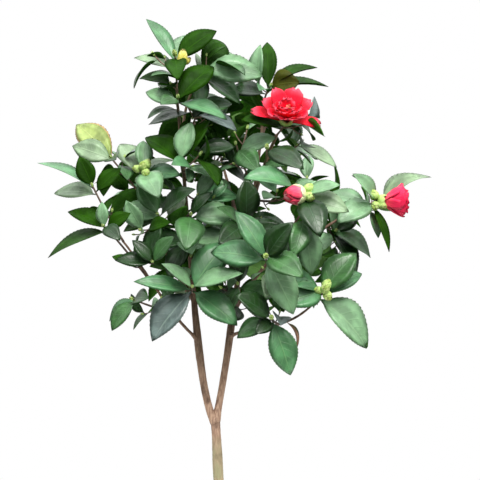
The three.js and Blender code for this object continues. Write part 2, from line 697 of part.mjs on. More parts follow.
// Each mass: its shoots and flowers fused, then the leaves that touch no limb and no other mass
const frames = masses.map((mass) => {
  const parts = mass.shoots.map((shoot, i) => tube(shoot.stem, 3, i ? 3 : 6, { widen: TWIG_THICKENING }));
  if (mass.flower) {
    parts.push(...flowerSolids(mass.flower));
  }
  return cutClear(wasm.Manifold.union(parts));
});
const finished = [];
for (const [i, mass] of masses.entries()) {
  const others = [...Object.values(shells), ...finished, ...frames.slice(i + 1)];
  const leaves = mass.leaves.map((leaf) => bladeSolid(leaf));
  const free = leaves.filter((leaf) => !others.some((other) => meets(leaf, other)));
  const solid = whole(wasm.Manifold.union([frames[i], ...free]).simplify(TRIM));
  finished.push(solid);
  addMesh(group, mass.name, solid, FOLIAGE);
}

export default group;
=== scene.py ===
# %% [markdown]
# # A camellia shrub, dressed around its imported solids
# A young camellia is three things: smooth tan wood that forks low, twigs that end in whorls of stiff
# glossy leaves, and a few fat buds of which one or two have opened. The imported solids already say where
# every limb and every spray stands. This notebook grows the same plant again, finer, over them.

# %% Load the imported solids
import math
import bmesh
import bpy
import numpy as np
from mathutils import Matrix, Vector, noise


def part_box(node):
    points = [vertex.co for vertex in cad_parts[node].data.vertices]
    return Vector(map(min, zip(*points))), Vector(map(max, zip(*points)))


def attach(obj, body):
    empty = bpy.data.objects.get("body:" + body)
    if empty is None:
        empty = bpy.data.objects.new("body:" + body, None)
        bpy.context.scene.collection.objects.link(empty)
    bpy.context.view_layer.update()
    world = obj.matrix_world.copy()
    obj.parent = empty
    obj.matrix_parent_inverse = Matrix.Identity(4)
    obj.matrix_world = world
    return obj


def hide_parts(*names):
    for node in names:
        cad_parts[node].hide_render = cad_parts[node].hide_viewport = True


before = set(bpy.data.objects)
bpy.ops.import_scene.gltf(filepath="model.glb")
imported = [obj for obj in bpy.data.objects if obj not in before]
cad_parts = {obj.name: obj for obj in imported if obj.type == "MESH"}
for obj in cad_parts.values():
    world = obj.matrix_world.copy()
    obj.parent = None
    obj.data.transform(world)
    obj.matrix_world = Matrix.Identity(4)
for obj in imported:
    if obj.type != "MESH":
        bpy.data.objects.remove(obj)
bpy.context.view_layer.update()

MM = 0.001
print("solids in the frame:", len(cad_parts))

# %% [markdown]
# ## Camera
# The camera stands level with the middle of the crown, 1.8 m in front of it. A 90 mm lens keeps the
# leaves at the front from looking much larger than those at the back.

# %% Camera
def add_object(name, data):
    thing = bpy.data.objects.new(name, data)
    bpy.context.scene.collection.objects.link(thing)
    return thing


camera_data = bpy.data.cameras.new("camera")
camera_data.lens = 90
camera_data.sensor_width = 36
camera = add_object("camera", camera_data)
camera.location = (0.030, -1.800, 0.450)
camera.rotation_euler = (math.radians(90), 0, 0)
bpy.context.scene.camera = camera
print("camera at", tuple(round(v, 3) for v in camera.location))

# %% [markdown]
# ## Node graphs
# The sky and every finish are small graphs of nodes, which could also be wired by hand in the editor.
# These helpers add one node, one sum or one mix of colours at a time, so that the graphs below stay
# short enough to read.

# %% Helpers for node graphs
def plug(graph, value, socket):
    if isinstance(value, bpy.types.NodeSocket):
        graph.node_tree.links.new(value, socket)
    else:
        socket.default_value = (*value, 1) if socket.type == "RGBA" else value


def add_node(graph, kind, inputs=None, **settings):
    node = graph.node_tree.nodes.new(kind)
    for key, value in settings.items():
        setattr(node, key, value)
    for key, value in (inputs or {}).items():
        plug(graph, value, node.inputs[key])
    return node


def sums(graph, operation, *values):
    return add_node(graph, "ShaderNodeMath", dict(enumerate(values)), operation=operation).outputs[0]


def step(graph, value, low, high, to_low=0.0, to_high=1.0):
    inputs = {0: value, 1: low, 2: high, 3: to_low, 4: to_high}
    return add_node(graph, "ShaderNodeMapRange", inputs, interpolation_type="SMOOTHSTEP").outputs[0]


def mix(graph, share, first, second):
    return add_node(graph, "ShaderNodeMix", {0: share, 6: first, 7: second}, data_type="RGBA").outputs[2]


def grain(graph, coordinates, scale, detail=3.0, rough=0.5):
    inputs = {"Vector": coordinates, "Scale": scale, "Detail": detail, "Roughness": rough}
    return add_node(graph, "ShaderNodeTexNoise", inputs).outputs["Fac"]


def stretched(graph, coordinates, scale):
    return add_node(graph, "ShaderNodeMapping", {"Vector": coordinates, "Scale": scale}).outputs[0]


def place_on_plant(graph):
    return add_node(graph, "ShaderNodeTexCoord").outputs["Object"]


def place_on_leaf(graph):
    flat = add_node(graph, "ShaderNodeUVMap", uv_map="leaf").outputs[0]
    along, across_it, _ = add_node(graph, "ShaderNodeSeparateXYZ", {0: flat}).outputs
    return flat, along, across_it


def new_look(name, **finish):
    look = bpy.data.materials.new(name)
    look.use_nodes = True
    shader = look.node_tree.nodes["Principled BSDF"]
    for socket, value in finish.items():
        shader.inputs[socket.replace("_", " ").title().replace("Ior", "IOR")].default_value = value
    return look, shader


def finish_look(look, shader, colour, roughness, height=None, distance=0.0):
    plug(look, colour, shader.inputs["Base Color"])
    plug(look, roughness, shader.inputs["Roughness"])
    if height is not None:
        bump = add_node(look, "ShaderNodeBump", {"Height": height, "Distance": distance, "Strength": 1.0})
        plug(look, bump.outputs[0], shader.inputs["Normal"])
    return look


# %% [markdown]
# ## Light
# Waxy leaves show what is around them, so the light is most of their look. A dome that is bright
# overhead and dimmer towards the ground gives the pale sheen on the leaves that face up and leaves
# their undersides deep green. One wide, soft sun adds the direction. The camera itself sees plain white.

# %% Light
DOME = [
    # height in the dome from nadir 0 to zenith 1, and the colour of its light
    (0.00, (0.035, 0.045, 0.030)),
    (0.42, (0.09, 0.11, 0.08)),
    (0.54, (0.44, 0.47, 0.43)),
    (0.72, (1.31, 1.36, 1.33)),
    (1.00, (2.65, 2.75, 2.75)),
]
WHITE = (1.0, 1.0, 1.0)
world = bpy.data.worlds.new("studio")
bpy.context.scene.world = world
world.use_nodes = True
outward = add_node(world, "ShaderNodeTexCoord").outputs["Generated"]
upward = add_node(world, "ShaderNodeSeparateXYZ", {0: outward}).outputs["Z"]
height = add_node(world, "ShaderNodeMapRange", {"Value": upward, "From Min": -1, "From Max": 1})
ramp = add_node(world, "ShaderNodeValToRGB", {0: height.outputs[0]})
while len(ramp.color_ramp.elements) < len(DOME):
    ramp.color_ramp.elements.new(0.5)
for element, (place, colour) in zip(ramp.color_ramp.elements, DOME):
    element.position = place
    element.color = (*colour, 1)
from_camera = add_node(world, "ShaderNodeLightPath").outputs["Is Camera Ray"]
seen = mix(world, from_camera, ramp.outputs["Color"], WHITE)
plug(world, seen, world.node_tree.nodes["Background"].inputs["Color"])

sun_data = bpy.data.lights.new("sun", "SUN")
sun_data.energy = 3.2
sun_data.angle = math.radians(30)
sun_data.color = (1.0, 0.98, 0.94)
sun = add_object("sun", sun_data)
sun.rotation_euler = (math.radians(38), math.radians(14), 0)
bpy.context.scene.view_settings.view_transform = "Standard"
print("lights:", world.name, sun.name)

# %% [markdown]
# ## Leaf finish
# The upper face of a camellia leaf is dark and waxy, with a paler midrib and about eight pairs of faint
# veins that slant forward. The underside is dull and yellower, and on many kinds a deeper green than the
# upper face: partly its own colour and partly painted shade. Both patterns follow the leaf's own flat map:
# along the leaf from stalk to tip, and across it from edge to edge. Drawn in nodes, they stay sharp at any
# size, where a painted picture would blur.

# %% Leaf finish
VEIN_PAIRS = 8.0
VEIN_SLANT = 1.5
DARKER, LIGHTER = 0.72, 1.28


def leaf_look(name, colour, rib_colour, roughness, gloss, specular, vein_height, tints=None):
    look, shader = new_look(name, coat_weight=gloss, coat_roughness=0.24, specular_ior_level=specular)
    _, along, across_it = place_on_leaf(look)
    side = sums(look, "ABSOLUTE", sums(look, "MULTIPLY_ADD", across_it, 2.0, -1.0))
    rib = step(look, side, 0.075, 0.02)
    phase = sums(look, "MULTIPLY_ADD", side, -VEIN_SLANT, sums(look, "MULTIPLY", along, VEIN_PAIRS))
    wave = sums(look, "PINGPONG", phase, 0.5)
    vein = sums(look, "MULTIPLY", step(look, wave, 0.10, 0.02), step(look, side, 0.95, 0.6))
    place = place_on_plant(look)
    cloud = grain(look, place, 45.0)
    fine = grain(look, place, 700.0, 2.0)
    dark = tuple(c * DARKER for c in colour)
    light = tuple(min(1.0, c * LIGHTER) for c in colour)
    body = mix(look, step(look, cloud, 0.34, 0.66), dark, light)
    marked = mix(look, sums(look, "MULTIPLY", vein, 0.16), body, rib_colour)
    marked = mix(look, sums(look, "MULTIPLY", rib, 0.55), marked, rib_colour)
    stalk_colour, rim_colour = tints or (dark, rib_colour)
    marked = mix(look, step(look, along, 0.34, 0.0, 0.0, 0.9 if tints else 0.3), marked, stalk_colour)
    marked = mix(look, step(look, side, 0.88, 0.97, 0.0, 0.8 if tints else 0.4), marked, rim_colour)
    rough = step(look, cloud, 0.3, 0.7, roughness + 0.06, roughness - 0.05)
    lines = sums(look, "MAXIMUM", rib, sums(look, "MULTIPLY", vein, 0.55))
    lines = sums(look, "MULTIPLY", lines, vein_height)
    return finish_look(look, shader, marked, rough, sums(look, "MULTIPLY_ADD", fine, 0.12, lines), 0.0004)


LEAF_COLOURS = {
    # kind: upper face, its ribs, underside, its ribs
    # Many undersides are a deeper green than their upper faces, partly painted shade.
    "dark": ((0.012, 0.042, 0.008), (0.04, 0.10, 0.04), (0.018, 0.070, 0.004), (0.05, 0.14, 0.012)),
    "deep": ((0.044, 0.130, 0.036), (0.09, 0.21, 0.08), (0.024, 0.095, 0.005), (0.06, 0.17, 0.015)),
    "fresh": ((0.068, 0.198, 0.078), (0.15, 0.32, 0.13), (0.035, 0.125, 0.010), (0.08, 0.22, 0.03)),
    # The upper faces of mid and pale are partly their own lighter green and partly painted sky sheen.
    "mid": ((0.155, 0.300, 0.148), (0.22, 0.38, 0.19), (0.042, 0.140, 0.012), (0.10, 0.24, 0.03)),
    "pale": ((0.200, 0.298, 0.166), (0.29, 0.41, 0.24), (0.110, 0.24, 0.060), (0.20, 0.36, 0.10)),
    "young": ((0.250, 0.320, 0.085), (0.42, 0.48, 0.16), (0.230, 0.33, 0.070), (0.36, 0.46, 0.12)),
    "olive": ((0.045, 0.052, 0.003), (0.08, 0.09, 0.01), (0.040, 0.06, 0.004), (0.08, 0.10, 0.01)),
    # A dark leaf whose upper face has a painted blue-grey sky reflection in its colour.
    "slate": ((0.105, 0.150, 0.142), (0.23, 0.31, 0.27), (0.018, 0.070, 0.004), (0.05, 0.14, 0.012)),
    "withered": ((0.130, 0.115, 0.045), (0.24, 0.17, 0.10), (0.330, 0.180, 0.125), (0.42, 0.26, 0.19)),
    # Painted shade: a dull deep green without sheen, for upper faces that stand in shade.
    "shade": ((0.013, 0.052, 0.001), (0.025, 0.09, 0.003), (0.018, 0.075, 0.002), (0.04, 0.13, 0.006)),
}
LEAF_TINTS = {
    # kind: colour by the stalk, colour of the margin
    "young": ((0.085, 0.17, 0.015), (0.62, 0.36, 0.16)),
}
LEAF_GLOSS = {
    # kind: roughness, coat, specular of the upper face
    "dark": (0.36, 0.15, 0.40),
    "deep": (0.38, 0.14, 0.42),
    "fresh": (0.42, 0.12, 0.45),
    "mid": (0.42, 0.12, 0.50),
    "pale": (0.45, 0.10, 0.45),
    "young": (0.48, 0.05, 0.35),
    "olive": (0.50, 0.00, 0.12),
    "slate": (0.36, 0.28, 0.55),
    "withered": (0.60, 0.00, 0.20),
    "shade": (0.50, 0.00, 0.06),
}
leaf_looks = {}
for kind, (face, face_rib, back, back_rib) in LEAF_COLOURS.items():
    upper = leaf_look("leaf_" + kind, face, face_rib, *LEAF_GLOSS[kind], -1.0, LEAF_TINTS.get(kind))
    under = leaf_look("leaf_back_" + kind, back, back_rib, 0.60, 0.0, 0.08, 1.0)
    leaf_looks[kind] = (upper, under)
print("leaf finishes:", ", ".join(leaf_looks))

# %% [markdown]
# ## Bark finish
# Young camellia bark is smooth and tan, with fine lengthwise streaks, small pale pores and darker
# smudges. It is painted darker where it lies in shade inside the crown, and is green with moss at the foot.
# The twigs are browner.

# %% Bark finish
# Heights up the plant in metres, each a soft edge that runs from the first value to the second.
SHADE_STARTS, SHADE_ENDS = (0.20, 0.34), (0.56, 0.46)
PALE_STARTS = (0.52, 0.60)
MOSS_ENDS = (0.165, 0.13)


def bark_look(name, light, middle, dark, green, roughness):
    look, shader = new_look(name, specular_ior_level=0.3)
    place = place_on_plant(look)
    streaks = grain(look, stretched(look, place, (1, 1, 0.16)), 420.0, 5.0, 0.6)
    smudges = grain(look, stretched(look, place, (1, 1, 0.5)), 55.0, 4.0)
    spots = {"Vector": stretched(look, place, (1, 1, 1.8)), "Scale": 330.0}
    pore = step(look, add_node(look, "ShaderNodeTexVoronoi", spots).outputs["Distance"], 0.26, 0.16)
    body = mix(look, step(look, streaks, 0.36, 0.64), middle, light)
    body = mix(look, step(look, smudges, 0.52, 0.68, 0.0, 0.8), body, dark)
    height = add_node(look, "ShaderNodeSeparateXYZ", {0: place}).outputs[2]
    # Painted shade: the bark is darker between the heights at which the crown shades it.
    shaded = sums(look, "MULTIPLY", step(look, height, *SHADE_STARTS), step(look, height, *SHADE_ENDS))
    body = mix(look, sums(look, "MULTIPLY", shaded, 0.65), body, dark)
    body = mix(look, step(look, height, *PALE_STARTS, 0.0, 0.6), body, light)
    patches = step(look, smudges, 0.62, 0.38, 0.5, 0.95)
    body = mix(look, sums(look, "MULTIPLY", step(look, height, *MOSS_ENDS), patches), body, green)
    body = mix(look, sums(look, "MULTIPLY", pore, 0.35), body, light)
    rough = step(look, streaks, 0.3, 0.7, roughness + 0.1, roughness - 0.08)
    return finish_look(look, shader, body, rough, sums(look, "MULTIPLY_ADD", pore, 0.5, streaks), 0.0008)


trunk_bark = bark_look("trunk_bark", (0.44, 0.285, 0.205), (0.25, 0.148, 0.102), (0.070, 0.036, 0.024),
                       (0.24, 0.228, 0.128), 0.72)
twig_bark = bark_look("twig_bark", (0.30, 0.20, 0.155), (0.15, 0.092, 0.066), (0.055, 0.034, 0.026),
                      (0.12, 0.13, 0.05), 0.66)
print("bark finishes:", trunk_bark.name, twig_bark.name)

# %% [markdown]
# ## Petal and bud finish
# A petal is coral red, deeper at its foot and pinker at its rim, with hair-fine veins that run along it.
# It is satin and not waxy. A bud scale is yellow-green with a silky bloom and a paler edge. Petals and
# scales are the same kind of thin skin, so they share one graph and differ in their three colours.

# %% Petal and bud finish
def petal_look(name, foot, body, rim, rim_from=0.62, roughness=0.5):
    look, shader = new_look(name, sheen_weight=0.05, sheen_roughness=0.4, specular_ior_level=0.22)
    flat, along, _ = place_on_leaf(look)
    veins = grain(look, stretched(look, flat, (2.2, 26.0, 1)), 1.6, 3.0)
    cloud = grain(look, place_on_plant(look), 90.0)
    colour = mix(look, step(look, along, 0.05, 0.55), foot, body)
    edge = sums(look, "MULTIPLY", step(look, along, rim_from, 1.0), step(look, cloud, 0.35, 0.6, 0.55, 1.0))
    colour = mix(look, edge, colour, rim)
    colour = mix(look, step(look, veins, 0.52, 0.70, 0.0, 0.35), colour, foot)
    rough = step(look, veins, 0.3, 0.7, roughness + 0.08, roughness - 0.08)
    return finish_look(look, shader, colour, rough, veins, 0.0007)


bloom_red = petal_look("bloom_red", (0.72, 0.001, 0.008), (0.90, 0.003, 0.030), (0.95, 0.10, 0.17), 0.72)
heart_coral = petal_look("heart_coral", (0.90, 0.006, 0.03), (0.93, 0.03, 0.05), (0.96, 0.32, 0.20), 0.6)
half_red = petal_look("half_open_red", (0.92, 0.09, 0.12), (0.95, 0.018, 0.095), (0.93, 0.012, 0.080))
bud_pink = petal_look("bud_pink", (0.92, 0.35, 0.40), (0.92, 0.055, 0.13), (0.62, 0.001, 0.012), 0.60)
scale_green = petal_look("scale_green", (0.33, 0.46, 0.1), (0.47, 0.67, 0.2), (0.62, 0.64, 0.26), 0.62, 0.45)
scale_yellow = petal_look("scale_yellow", (0.5, 0.55, 0.1), (0.76, 0.68, 0.13), (0.88, 0.78, 0.32), 0.6, 0.45)
scale_cream = petal_look("scale_cream", (0.62, 0.7, 0.3), (0.8, 0.84, 0.44), (0.92, 0.8, 0.6), 0.62, 0.45)
stamen_yellow = petal_look("stamen_yellow", (0.85, 0.62, 0.25), (0.90, 0.55, 0.12), (0.80, 0.36, 0.04))
print("petal finishes ready, from", bloom_red.name, "to", stamen_yellow.name)

# %% [markdown]
# ## The growing rule
# The whole plant comes from two short tables: the limbs, each a tapering curve that leaves a parent
# somewhere along it, and the sprays, each a twig with a whorl of leaves set by the hours of a clock face.
# Dice with a fixed seed settle what the tables leave open, so the plant is the same on every run.
# Lengths are in millimetres. The origin is the middle of the trunk's cut foot.

# %% Tables of limbs and sprays
LIMBS = [
    # name, parent, where on it, end, leaving, arriving, radius at root and tip
    ("left_stem", "trunk", 1, (-64, -4, 660), (-28, -8, 30), (-18, -31, 190), 6.3, 2),
    ("right_stem", "trunk", 1, (85, -6, 607), (31, 14, 139), (60, -43, 125), 5.5, 2.2),
    ("left_low_bough", "left_stem", 0.39, (-140, -46, 447), (-41, -28, 36), (-38, -6, 48), 3.6, 2.2),
    ("left_mid_bough", "left_stem", 0.55, (-117, 14, 523), (-39, 41, 23), (-10, -17, 51), 2.9, 2),
    ("right_low_bough", "right_stem", 0.29, (140, -62, 362), (36, -51, 25), (44, -6, 50), 3.2, 2),
    ("right_up_bough", "right_stem", 0.41, (121, -76, 482), (50, -66, 26), (2, -15, 84), 3.4, 2.1),
    ("far_right_bough", "right_up_bough", 0.77, (209, -42, 497), (28, 10, 28), (37, 9, 15), 2.1, 1.9),
    ("top_right_bough", "right_stem", 0.74, (67, 34, 664), (7, 19, 52), (3, -20, 55), 2.8, 1.9),
    ("top_centre_bough", "left_stem", 0.88, (-40, 24, 681), (2, 7, 31), (17, -3, 30), 2.2, 1.9),
    ("back_left_bough", "left_stem", 0.5, (-105, 125, 500), (-27, 55, 31), (-9, 35, 65), 3.2, 2.1),
    ("back_right_bough", "right_stem", 0.36, (120, 130, 480), (22, 45, 51), (34, 26, 60), 3.2, 2.1),
    ("back_mid_bough", "right_stem", 0.51, (0, 125, 580), (4, 38, 84), (-17, 32, 68), 3, 2),
]
TRUNK_ROOT, TRUNK_TIP = 8.8, 6.6
TRUNK = [(0, 0, 0), (0, 0, 55), (-3.5, 0, 125), (-7, 0, 178)]
EVEN_HOURS = [0, 4.6, 9.2, 1.8, 6.4]
SPRAYS = [
    # name, limb, where on it, tip, facing, leaf length,
    # hours of its leaves, side shoots, first side hour, flower, share of the length for each leaf
    ("top_left_crown", "left_stem", 1, (-66, -14, 722), (-0.1, -0.85, 0.5), 96,
     [9.9, 12.3, 11.1, 1.8, 5.6], 1, 9, "bud", [0.8, 0.75, 1, 0.95, 0.8]),
    ("upper_left_front", "left_stem", 0.96, (-61, -48, 657), (0.1, -0.8, 0.6), 76,
     [10.1, 3.6, 1.4, 7.4], 0, 0, "", [0.85, 1, 1.2, 0.6]),
    ("left_leader", "left_stem", 0.81, (-56, -55, 566), (0, -0.8, 0.6), 84,
     [3.4, 10.6, 1, 12.4], 1, 3, "", [1, 0.9, 1, 0.7]),
    ("top_centre_crown", "top_centre_bough", 1, (-26, -10, 706), (0.3, -0.85, 0.42), 90,
     [2.2, 4.2, 1.3, 3.4, 5.4], 1, 3, "", [1.1, 0.9, 0.8, 1, 1]),
    ("upper_centre", "left_stem", 0.88, (-31, -12, 644), (0.3, -0.7, 0.6), 76,
     [9.8, 1.9, 4, 2.9, 12], 2, 4),
    ("top_right_crown", "top_right_bough", 1, (76, 8, 682), (0.1, -0.85, 0.5), 92,
     [10.2, 2.35, 12, 2, 3.4], 0, 0, "", [0.9, 1.05, 1.05, 0.95, 0.6]),
    ("bloom_spray", "right_stem", 1, (98, -24, 622), (0.1, -0.7, 0.7), 78,
     [1.4, 9, 4.4], 1, 3, "bloom", [1.1, 1, 0.9]),
    ("right_shoulder", "right_stem", 0.91, (122, 30, 598), (0.6, -0.4, 0.6), 72, [3.2, 12.5, 5, 8], 1, 3),
    ("left_tip", "left_low_bough", 1, (-184, -55, 528), (-0.25, -0.86, 0.45), 80,
     [9.4, 1.5, 10.1, 11.1], 0, 0, "", [0.9, 0.75, 1.25, 0.7]),
    ("left_low_leaves", "left_low_bough", 0.55, (-166, -76, 470), (-0.2, -0.93, 0.25), 88,
     [8.6, 10.2, 2, 11.6, 4], 0, 0, "", [1.1, 0.8, 0.55, 0.5, 0.5]),
    ("yellow_leaf_spray", "left_mid_bough", 0.93, (-162, -10, 572), (-0.25, -0.9, 0.35), 92,
     [10.55, 9.6, 4], 0, 0, "", [1.12, 0.78, 0.7]),
    ("left_bud_spray", "left_mid_bough", 1, (-113, -28, 553), (0, -0.8, 0.6), 80,
     [10.7, 3.4, 2, 4.8, 12.6], 1, 3, "buds", [1.1, 1, 0.9, 1, 0.7]),
    ("left_hang", "left_low_bough", 0.83, (-96, -66, 418), (-0.2, -0.9, 0.3), 58,
     [9, 10.2, 1.5], 0, 5, "", [1.1, 0.8, 1]),
    ("left_low_tip", "left_low_bough", 0.32, (-124, -75, 365), (-0.5, -0.8, 0.3), 58, [8.2, 7, 3], 0, 0),
    ("left_front", "left_stem", 0.53, (-38, -92, 383), (0.05, -0.92, 0.35), 90,
     [7.5, 4.2, 8.7, 1.1, 10, 2.6], 0, 0, "", [1, 1, 1, 1, 0.75, 1]),
    ("left_inner", "left_mid_bough", 0.69, (-90, -42, 487), (-0.3, -0.8, 0.4), 72,
     [8.2, 6.9, 9.4, 2, 11.4], 1, 7),
    ("left_arch", "left_stem", 0.66, (-47, -46, 450), (-0.1, -0.9, 0.3), 78, [9.2, 3.2, 7.4, 4.9], 1, 10),
    ("centre_left", "left_stem", 0.73, (-41, -66, 486), (0, -0.9, 0.4), 80, [3.1, 9.9, 12.2, 6], 0, 0),
    ("centre_fan", "left_stem", 0.77, (-33, -30, 515), (0.2, -0.8, 0.5), 80, [1.9, 3.3, 12.5, 10.6], 1, 4),
    ("centre_high", "right_stem", 0.78, (24, -16, 592), (-0.2, -0.8, 0.6), 76,
     [9.7, 2, 4.8, 7.6, 12], 2, 8),
    ("right_leader", "right_stem", 0.86, (69, -52, 581), (0, -0.85, 0.5), 82,
     [10.5, 7.4, 1.2, 4.4], 0, 0, "bud"),
    ("right_pale", "right_stem", 0.76, (109, -86, 526), (0.2, -0.85, 0.5), 86,
     [2, 7, 4.4, 10.3], 0, 0, "", [0.6, 1, 1, 1.3]),
    ("opening_bud_spray", "right_up_bough", 1, (120, -104, 515), (0.1, -0.85, 0.5), 76,
     [12.8, 3.7, 5.6, 2.7], 0, 0, "opening", [0.6, 1, 1, 0.8]),
    ("far_right_spray", "far_right_bough", 1, (230, -52, 506), (0.15, -0.93, 0.32), 78,
     [9.9, 5.25, 8.2, 10.6], 0, 0, "half", [0.8, 0.95, 1, 0.85]),
    ("right_dark", "far_right_bough", 0.48, (171, -20, 463), (0.3, -0.85, 0.3), 80,
     [3.7, 4.9, 8, 1.9, 10.5], 1, 6, "", [1.15, 0.9, 1, 0.6, 0.8]),
    ("right_hang", "right_up_bough", 0.88, (120, -112, 480), (0, -0.95, 0.2), 76,
     [5.6, 7.2, 3.2, 6.4], 0, 0),
    ("right_bud_spray", "right_low_bough", 1, (149, -84, 377), (0.2, -0.92, 0.35), 96,
     [4.25, 1.9, 12.7, 10.3, 8.9], 0, 0, "buds", [1.08, 0.9, 0.9, 0.95, 0.9]),
    ("front_whorl", "right_up_bough", 0.43, (66, -128, 426), (-0.02, -0.96, 0.22), 86,
     [9, 5, 11.1, 1, 3.4], 0, 0, "bud"),
    ("low_whorl", "right_low_bough", 0.6, (74, -110, 340), (0, -0.92, 0.2), 84,
     [5.3, 8.3, 7.2, 1.9, 10.3], 0, 0, "bud", [1, 0.7, 0.65, 1, 0.9]),
    ("centre_low", "right_stem", 0.37, (27, -40, 385), (-0.2, -0.8, 0.4), 68, [9, 3, 6.5, 12], 1, 8),
    ("centre_mid", "right_stem", 0.58, (39, -50, 476), (0.2, -0.85, 0.4), 76, [2, 10, 5, 7.6, 12], 2, 2),
    ("back_left", "back_left_bough", 1, (-125, 145, 540), (-0.5, 0.6, 0.6), 80, EVEN_HOURS, 3, 1),
    ("back_left_low", "back_left_bough", 0.63, (-72, 110, 405), (-0.6, 0.6, 0.3), 72, EVEN_HOURS, 3, 2),
    ("back_right", "back_right_bough", 1, (150, 150, 520), (0.5, 0.6, 0.6), 80, EVEN_HOURS, 3, 3),
    ("back_right_low", "back_right_bough", 0.64, (115, 118, 400), (0.8, 0.5, 0.25), 76, EVEN_HOURS, 3, 4),
    ("back_mid", "back_mid_bough", 1, (0, 145, 625), (0, 0.6, 0.8), 80, EVEN_HOURS, 4, 5),
    ("back_mid_low", "back_mid_bough", 0.59, (15, 155, 470), (0.1, 1, 0.3), 80, EVEN_HOURS, 4, 6),
    ("back_top_left", "left_stem", 0.87, (-45, 75, 655), (-0.3, 0.7, 0.6), 76, EVEN_HOURS, 2, 4),
    ("back_top_right", "top_right_bough", 0.6, (80, 95, 650), (0.3, 0.7, 0.6), 76, EVEN_HOURS, 2, 4),
    ("inner_high", "left_stem", 0.8, (0, 40, 580), (0.4, -0.5, 0.6), 78, EVEN_HOURS, 2, 9),
    ("inner_low", "left_stem", 0.58, (-22, 45, 425), (0.2, 0.5, 0.6), 74, EVEN_HOURS, 2, 5),
    ("far_right_tip", "far_right_bough", 0.93, (240, -18, 514), (0.15, -0.95, 0.2), 88,
     [1.6, 1.85], 0, 0, "", [1.1, 0.72]),
]
print(len(LIMBS) + 1, "limbs and", len(SPRAYS), "sprays")

# %% [markdown]
# ## Directions and dice
# A leaf's direction is told like the time: twelve o'clock is up the face of its twig, and a pitch says how
# far it leans away from the twig. The dice are a plain Lehmer generator.

# %% Directions, dice and curves
UP = np.array([0.0, 0.0, 1.0])
BACK = np.array([0.0, 1.0, 0.0])
HOUR = math.pi / 6
NEXT_HOUR = 4.58


def unit(v):
    return v / np.linalg.norm(v)


def across(v, axis):
    return v - axis * np.dot(v, axis)


def mixed(a, b, share):
    return a + (b - a) * share


def dice(seed):
    state = [seed]

    def draw(low=0.0, high=1.0):
        state[0] = state[0] * 48271 % 2147483647
        return low + (high - low) * state[0] / 2147483647

    for _ in range(3):
        draw()
    return draw


def toward(face, hour, pitch):
    twelve = across(UP, face)
    if np.linalg.norm(twelve) < 0.35:
        twelve = across(BACK, face)
    twelve = unit(twelve)
    three = np.cross(twelve, face)
    out = twelve * math.cos(hour * HOUR) + three * math.sin(hour * HOUR)
    return unit(face * math.cos(pitch) + out * math.sin(pitch))


class Branch:
    def __init__(self, points, root, tip):
        self.points = [np.array(p, float) for p in points]
        self.root, self.tip = root, tip

    def at(self, t):
        row = self.points
        while len(row) > 1:
            row = [mixed(a, b, t) for a, b in zip(row, row[1:])]
        return row[0]

    def way(self, t):
        row = self.points
        while len(row) > 2:
            row = [mixed(a, b, t) for a, b in zip(row, row[1:])]
        return unit(row[1] - row[0])

    def radius(self, t):
        return self.root + (self.tip - self.root) * t

    def length(self):
        places = [self.at(i / 12) for i in range(13)]
        return sum(np.linalg.norm(b - a) for a, b in zip(places, places[1:]))


def grow_limbs():
    limbs = {"trunk": Branch(TRUNK, TRUNK_ROOT, TRUNK_TIP)}
    for name, parent, at, end, leaving, arriving, root, tip in LIMBS:
        start = limbs[parent].at(at)
        end = np.array(end, float)
        limbs[name] = Branch([start, start + leaving, end - arriving, end], root, tip)
    return limbs


limbs = grow_limbs()
print("wood, mm:", round(sum(limb.length() for limb in limbs.values())))

# %% [markdown]
# ## Leaves as bent blades
# A leaf is one strip that bends away from its upper face, widest near its middle. Its thick waxy blade
# could be simulated as cloth, but a formula keeps its stiff arch. Eleven points on it are enough to tell
# whether it is free of its neighbours. A leaf is tried in six positions, and where it finds no room in
# any of them it is left out, as a shaded leaf on a real shrub is.

# %% The blade
STALK = 0.08
TEST_POINTS = [(0.28, 0), (0.46, 0), (0.64, 0), (0.82, 0), (1.0, 0),
               (0.32, 1), (0.32, -1), (0.52, 1), (0.52, -1), (0.74, 1), (0.74, -1)]
OUTER = np.array([t >= 0.45 for t, _ in TEST_POINTS])
OUTLINE_SKEW, OUTLINE_ROUND = 0.82, 0.9
FOLD = 0.12
RIPPLES, FRILLS = 9.0, 5.0
TEST_SPAN = 0.92


def leaf_outline(t):
    inside = np.clip((t - STALK) / (1 - STALK), 0, 1)
    return np.sin(math.pi * inside**OUTLINE_SKEW).clip(0) ** OUTLINE_ROUND


